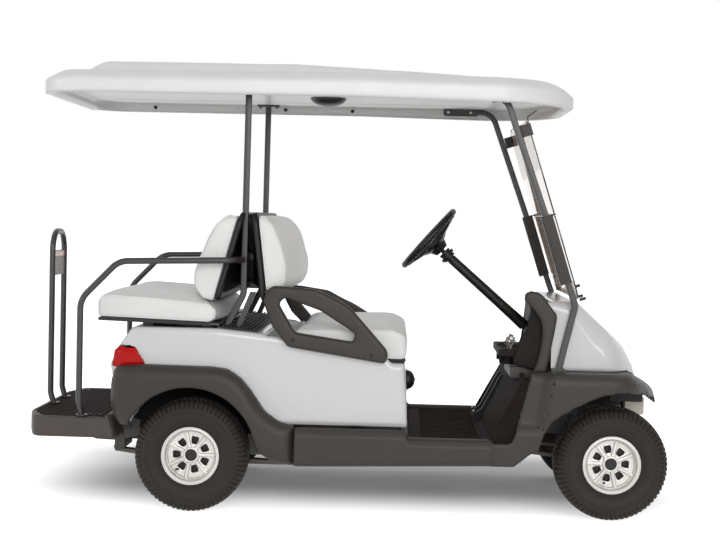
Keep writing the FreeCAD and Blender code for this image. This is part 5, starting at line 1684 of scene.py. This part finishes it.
def plan_rows(rear, front, half, rear_radius, front_radius):
    """A plan between a rear and a front end, in millimetres from the two axles."""
    nose = ahead([(front, -half, front_radius), (front, half, front_radius)])
    return behind([(rear, -half, rear_radius)]) + nose + behind([(rear, half, rear_radius)])


def roof_field():
    """The roof: a raised middle above a drooping rim, hollow below, with two ribs."""
    side, skin, crown = from_side(ROOF_ROWS, 10), from_side(ROOF_SKIN, 10), from_side(CROWN_ROWS, 10)
    plan = from_above(plan_rows(-626, -156, 585, 150, 380), 20)
    crown_plan = from_above(plan_rows(-482, -365, 430, 90, 200), 10)
    under = from_above(plan_rows(-592, -200, 555, 122, 340), 18)
    edge = sizes().roof_edge

    def field(x, y, z):
        around = plan(x, y, z)
        inward = np.clip(0.076 + around, 0, 0.076)
        level = z + 0.036 * (inward / 0.076) ** 1.15 * ease((z - 1.668) / 0.03)
        out = meet(side(x, y, level), around, edge * 0.5)
        scallop = 0.030 * np.exp(-(((x - SCALLOP) / 0.075) ** 2)) * ease((np.abs(y) - 0.30) / 0.10)
        raised = meet(crown(x, y, z), crown_plan(x, y, z) + scallop + 1.1 * np.maximum(z - 1.748, 0), 0.016)
        out = join(out, raised, 0.010)
        rib = 0.0045 * (1 - ease((np.abs(np.abs(y) - 0.30) - 0.05) / 0.02)) * ease((REAR + 1.1 - x) / 0.1)
        ceiling = ROOF_UNDER + 0.0045 * ease((under(x, y, z) + 0.10) / 0.05)
        recess = meet(meet(under(x, y, z), z - ceiling + rib, 0.014), 1.60 - z)
        recess = meet(recess, skin(x, y, level) + 0.016, 0.010)
        return cut(out, recess, 0.005)
    return field


class GOLFCART_OT_roof(Operator):
    """Moulded roof with its raised middle, and what hangs under it"""
    bl_idname = "golf_cart.roof"
    bl_label = "Roof"

    def execute(self, context):
        piece("roof_moulding", surfaced(roof_field(), *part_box("roof"), 0.0125), roof_finish(),
              "roof")
        dark = dark_finish()
        screws = []
        for x in (REAR - 0.347, REAR + 0.260, REAR + 0.571):
            screws += [disc((x, side * 0.5555, 1.6725), (0, -side, 0), 0.0085, 0.004, 0.0015, 20)
                       for side in (-1, 1)]
        dome = turned([(0.078, 0.0), (0.077, 0.006), (0.070, 0.017), (0.056, 0.027), (0.036, 0.034),
                       (0.016, 0.0375), (0.0, 0.038)], 48)
        dome = placed(dome, along((REAR + 0.488, -0.02, ROOF_UNDER + 0.003), (0, 0, -1)))
        clip = [box_shape((0.532, -0.542, ROOF_LOW + 0.002), (0.552, -0.532, ROOF_UNDER + 0.002), 0.002),
                box_shape((0.545, -0.541, ROOF_LOW - 0.010), (0.566, -0.533, ROOF_LOW + 0.012), 0.003)]
        piece("roof_dome_light", [dome] + screws + clip, dark, sharp=35)
        return {"FINISHED"}


class GOLFCART_OT_roof_struts(Operator):
    """Square tube struts that carry the roof"""
    bl_idname = "golf_cart.roof_struts"
    bl_label = "Roof struts"

    def execute(self, context):
        tube = rounded_points(rectangle((-0.0125, -0.0125), (0.0125, 0.0125), 0.004), 3)
        top = ROOF_UNDER - 0.008
        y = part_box("rear_roof_struts")[1].y - 0.030
        rear = swept(bent_path([(REAR + 0.191, y, top), (REAR + 0.185, y, 0.862), (REAR + 0.112, y, 0.715)],
                               0.06), tube)
        head = rectangle((REAR + 0.141, y - 0.030), (REAR + 0.241, y + 0.030), 0.008)
        head = plate(head, top - 0.001, ROOF_UNDER + 0.0005, "Z")
        bolts = [hexagon((REAR + x, y, top), (0, 0, -1), 0.013, 0.007) for x in (0.154, 0.228)]
        foot = box_shape((REAR + 0.085, y - 0.024, 0.7265), (REAR + 0.165, y + 0.024, 0.732), 0.002)
        rear = combined([rear, head, foot] + bolts)
        piece("rear_strut_pair", both(rear), tube_finish(), "rear_roof_struts", sharp=35)

        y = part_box("front_roof_struts")[1].y - 0.015
        bend_z = ROOF_UNDER - 0.0125
        knee = (FRONT - 0.155, y, 0.850)
        bend_x = knee[0] - STRUT_LEAN * (bend_z - knee[2])
        run = [(bend_x - 0.219, y, bend_z), (bend_x, y, bend_z), knee, (FRONT - 0.215, y, 0.592)]
        front = swept(bent_path(run, [0, 0.075, 0.05, 0], 12), tube)
        foot = box_shape((FRONT - 0.245, y - 0.0145, FENDER_DECK + 0.0005),
                         (FRONT - 0.190, y + 0.0145, FENDER_DECK + 0.012), 0.003)
        lug = plate([(bend_x - 0.223, bend_z - 0.019, 0.012), (bend_x - 0.067, bend_z - 0.019, 0.004),
                     (bend_x - 0.067, bend_z + 0.0125, 0.004), (bend_x - 0.223, bend_z + 0.0125, 0.006)],
                    y - 0.0155, y - 0.0115)
        piece("front_strut_pair", both(front, foot, lug), strut_finish(),
              "front_roof_struts", sharp=35)
        heads = [disc((bend_x - at, y - 0.0155, bend_z - 0.002), (0, -1, 0), 0.0062, 0.005, 0.0018, 20)
                 for at in (0.200, 0.098)]
        piece("front_strut_bolts", both(*heads), bright_finish(), sharp=40)
        return {"FINISHED"}


def pane_frame(z):
    """A frame on the windshield's rear face at a height: X forward through the pane, Z up along it."""
    low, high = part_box("windshield_upper")
    up = Vector((-PANE_LEAN, 0, 1)).normalized()
    turn = Matrix((Vector((up.z, 0, -up.x)), Vector((0, 1, 0)), up)).transposed()
    return Matrix.Translation((low.x + PANE_LEAN * (high.z - z), 0, z)) @ turn.to_4x4()


class GOLFCART_OT_windshield(Operator):
    """Two tinted panes in their clips, one above the other"""
    bl_idname = "golf_cart.windshield"
    bl_label = "Windshield"

    def execute(self, context):
        stretch = math.sqrt(1 + PANE_LEAN ** 2)
        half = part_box("windshield_upper")[1].y
        glass = tinted("windshield_tint", colours().tint, 0.03, 1.0, 1.42)
        for node, low_r, high_r in (("windshield_lower", 60, 8), ("windshield_upper", 8, 60)):
            low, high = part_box(node)
            tall = (high.z - low.z + (0.024 if node == "windshield_upper" else 0)) * stretch
            rows = rectangle((-half * 1000, 1), (half * 1000, tall * 1000 - 1), low_r, high_r)
            pane = placed(plate(plain(rows), 0.0, 0.0055, "X"), pane_frame(low.z))
            piece(node + "_pane", pane, glass, node, sharp=35)
        dark = finish("channel_black", srgb(40, 35, 33), 0.45, grain=1600, depth=0.00015, shade=0.15,
                      specular=0.35)
        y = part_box("front_roof_struts")[1].y - 0.015
        parts = []
        for side in (-1, 1):
            for start, end, wide, edge, tall, z in ((-0.052, -0.006, 0.0185, 0.004, 0.268, 0.944),
                                                    (-0.030, 0.012, 0.013, 0.003, 0.046, 1.520)):
                rows = rectangle((start, side * y - wide), (end, side * y + wide), edge)
                parts.append(placed(plate(rows, 0, tall * stretch, "Z"), pane_frame(z)))
            hook = [(x, side * (y - 0.012), z) for x, z in ((0.006, 0.0), (0.010, 0.030), (0.052, 0.044))]
            hook = swept(bent_path(hook, 0.008, 5), round_section(0.0022, 8))
            parts.append(placed(hook, pane_frame(1.562)))
            for z, reach in ((0.925, 0.018), (0.885, 0.018), (0.872, 0.026)):
                wing = [disc((0.004, side * y, 0), (1, 0, 0), 0.006, reach, 0.0015, 12),
                        box_shape((reach * 0.5, side * y - 0.010, -0.003),
                                  (reach, side * y + 0.010, 0.003), 0.0015)]
                parts += [placed(w, pane_frame(z)) for w in wing]
        piece("windshield_fittings", parts, dark, "windshield_channels", sharp=35)
        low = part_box("windshield_upper")[0].z
        seal = plate(plain(rectangle((-1000 * half, -5), (1000 * half, 1), 1)), -0.003, 0.0085, "X")
        seal_finish = finish("pane_seal", srgb(70, 60, 54), 0.5, grain=1200)
        piece("windshield_seal", placed(seal, pane_frame(low)), seal_finish, sharp=35)
        return {"FINISHED"}


# ---- floor, lamps and camera ----
# The floor's least emission, in a box under the cart's far side: that box is a painted shadow.
FLOOR_GLOW_IN_PAINTED_SHADOW = 0.11
SKY = 0.335
LAMPS = [
    # name, place, aim, width, height, watts
    ("key", (1.5, -7.5, 3.2), (0.0, 0.0, 0.7), 6.0, 3.6, 288),
    ("overhead", (0.0, 0.5, 6.5), (0.0, 0.0, 0.8), 6.0, 5.0, 18),
    ("rear_fill", (-6.0, -2.5, 2.6), (-0.6, 0.0, 0.8), 3.0, 3.0, 60),
]
CAMERA_LENS = 75.98
CAMERA_PLACE = (0.2109, -6.5186, 1.1758)
CAMERA_YAW, CAMERA_PITCH, CAMERA_ROLL = -0.0279, -0.0338, 0.0227


def white_where_seen(tree):
    """A factor of 1 where the camera, a reflection or a pane looks straight at the backdrop."""
    path = add_node(tree, "LightPath", {})
    factor = path["Is Camera Ray"]
    for other in ("Is Glossy Ray", "Is Transmission Ray"):
        factor = add_node(tree, "Math", {0: factor, 1: path[other]}, operation="MAXIMUM")[0]
    return factor


def floor_finish():
    """A pale floor that glows into the backdrop away from the cart. Its emission is least in a box under the
    cart's far side and rises away from it: a painted shadow, laid over the real shadow beneath the cart.
    """
    made = bpy.data.materials.new("studio_floor_with_painted_shadow")
    made.use_nodes = True
    tree = made.node_tree
    pale = {"Base Color": (0.96, 0.96, 0.96, 1), "Roughness": 0.9, "Specular IOR Level": 0.0}
    skin = set_inputs(tree, tree.nodes["Principled BSDF"], pale)[0]
    away = add_node(tree, "TexCoord", {})["Object"]
    # Distance from a box under the cart's far side, where the emission is least: the painted shadow, set
    # where the cart's shadow falls.
    for operation, value in (("SUBTRACT", (0, 0.45, 0)), ("ABSOLUTE", None), ("SUBTRACT", (0.9, 0.35, 0)),
                             ("MAXIMUM", (0, 0, 0)), ("LENGTH", None)):
        made_of = add_node(tree, "VectorMath", {0: away, 1: value} if value else {0: away},
                           operation=operation)
        away = made_of[0]
    ends = {"Value": made_of["Value"], "From Min": 0.0, "From Max": 0.85, "To Min": FLOOR_GLOW_IN_PAINTED_SHADOW, "To Max": 1.0}
    rise = add_node(tree, "MapRange", ends, interpolation_type="SMOOTHSTEP")["Result"]
    glow = add_node(tree, "Emission", {"Strength": rise})[0]
    lit = add_node(tree, "AddShader", {0: skin, 1: glow})[0]
    seen = add_node(tree, "MixShader", {0: white_where_seen(tree), 1: skin, 2: lit})[0]
    set_inputs(tree, tree.nodes["Material Output"], {"Surface": seen})
    return made


class GOLFCART_OT_stage(Operator):
    """Pale floor, soft studio light and the camera"""
    bl_idname = "golf_cart.stage"
    bl_label = "Stage"

    def execute(self, context):
        scene = context.scene
        corners = np.array([(-60, -60, 0), (60, -60, 0), (60, 60, 0), (-60, 60, 0)], float)
        floor = mesh_of("studio_floor_with_painted_shadow", (corners, [np.array([[0, 1, 2, 3]])]))
        thing = bpy.data.objects.new("studio_floor_with_painted_shadow", floor)
        scene.collection.objects.link(thing)
        floor.materials.append(floor_finish())

        world = bpy.data.worlds.new("studio")
        world.use_nodes = True
        scene.world = world
        tree = world.node_tree
        sky = set_inputs(tree, tree.nodes["Background"], {"Color": (1, 1, 1, 1), "Strength": SKY})[0]
        white = add_node(tree, "Background", {"Color": (1, 1, 1, 1), "Strength": 1.0})[0]
        seen = add_node(tree, "MixShader", {0: white_where_seen(tree), 1: sky, 2: white})[0]
        set_inputs(tree, tree.nodes["World Output"], {"Surface": seen})

        for name, place, aim, wide, tall, watts in LAMPS:
            lamp = bpy.data.lights.new(name, "AREA")
            lamp.shape = "RECTANGLE"
            lamp.size, lamp.size_y = wide, tall
            lamp.energy = watts
            light = bpy.data.objects.new(name, lamp)
            light.location = place
            light.rotation_euler = (Vector(aim) - Vector(place)).to_track_quat("-Z", "Y").to_euler()
            light.visible_camera = False
            scene.collection.objects.link(light)

        lens = bpy.data.cameras.new("camera")
        lens.lens, lens.sensor_width = CAMERA_LENS, 36
        eye = bpy.data.objects.new("camera", lens)
        yaw, pitch, roll = CAMERA_YAW, CAMERA_PITCH, CAMERA_ROLL
        ahead_of = Vector((math.sin(yaw) * math.cos(pitch), math.cos(yaw) * math.cos(pitch), math.sin(pitch)))
        right = Vector((math.cos(yaw), -math.sin(yaw), 0))
        up = right.cross(ahead_of)
        across = math.cos(roll) * right + math.sin(roll) * up
        upward = -math.sin(roll) * right + math.cos(roll) * up
        facing = Matrix((across, upward, -ahead_of)).transposed().to_4x4()
        eye.matrix_world = Matrix.Translation(CAMERA_PLACE) @ facing
        scene.collection.objects.link(eye)
        scene.camera = eye
        scene.view_settings.view_transform = "Standard"
        return {"FINISHED"}


OPERATORS = (GOLFCART_OT_stage, GOLFCART_OT_wheels, GOLFCART_OT_running_gear, GOLFCART_OT_rear_body,
             GOLFCART_OT_side_cladding, GOLFCART_OT_floor, GOLFCART_OT_front_body, GOLFCART_OT_dashboard,
             GOLFCART_OT_steering, GOLFCART_OT_seats, GOLFCART_OT_seat_frames, GOLFCART_OT_armrests,
             GOLFCART_OT_rear_step, GOLFCART_OT_rails, GOLFCART_OT_tail_lights, GOLFCART_OT_roof,
             GOLFCART_OT_roof_struts, GOLFCART_OT_windshield)


class GOLFCART_PT_pieces(bpy.types.Panel):
    """Sizes, colours and a button for each group of pieces"""
    bl_idname = "GOLFCART_PT_pieces"
    bl_label = "Golf cart"
    bl_space_type = "VIEW_3D"
    bl_region_type = "UI"
    bl_category = "Golf cart"

    def draw(self, context):
        for group in (context.scene.golf_cart_sizes, context.scene.golf_cart_colours):
            box = self.layout.box()
            for field in group.__annotations__:
                box.prop(group, field)
        for operator in OPERATORS:
            self.layout.operator(operator.bl_idname)


CLASSES = (GolfCartColours, GolfCartSizes, *OPERATORS, GOLFCART_PT_pieces)


def register():
    for made in CLASSES:
        bpy.utils.register_class(made)
    bpy.types.Scene.golf_cart_colours = bpy.props.PointerProperty(type=GolfCartColours)
    bpy.types.Scene.golf_cart_sizes = bpy.props.PointerProperty(type=GolfCartSizes)


def unregister():
    del bpy.types.Scene.golf_cart_sizes
    del bpy.types.Scene.golf_cart_colours
    for made in reversed(CLASSES):
        bpy.utils.unregister_class(made)


def main():
    """Builds every group of pieces."""
    register()
    for operator in OPERATORS:
        group, name = operator.bl_idname.split(".")
        getattr(getattr(bpy.ops, group), name)()


if __name__ == "__main__":
    main()
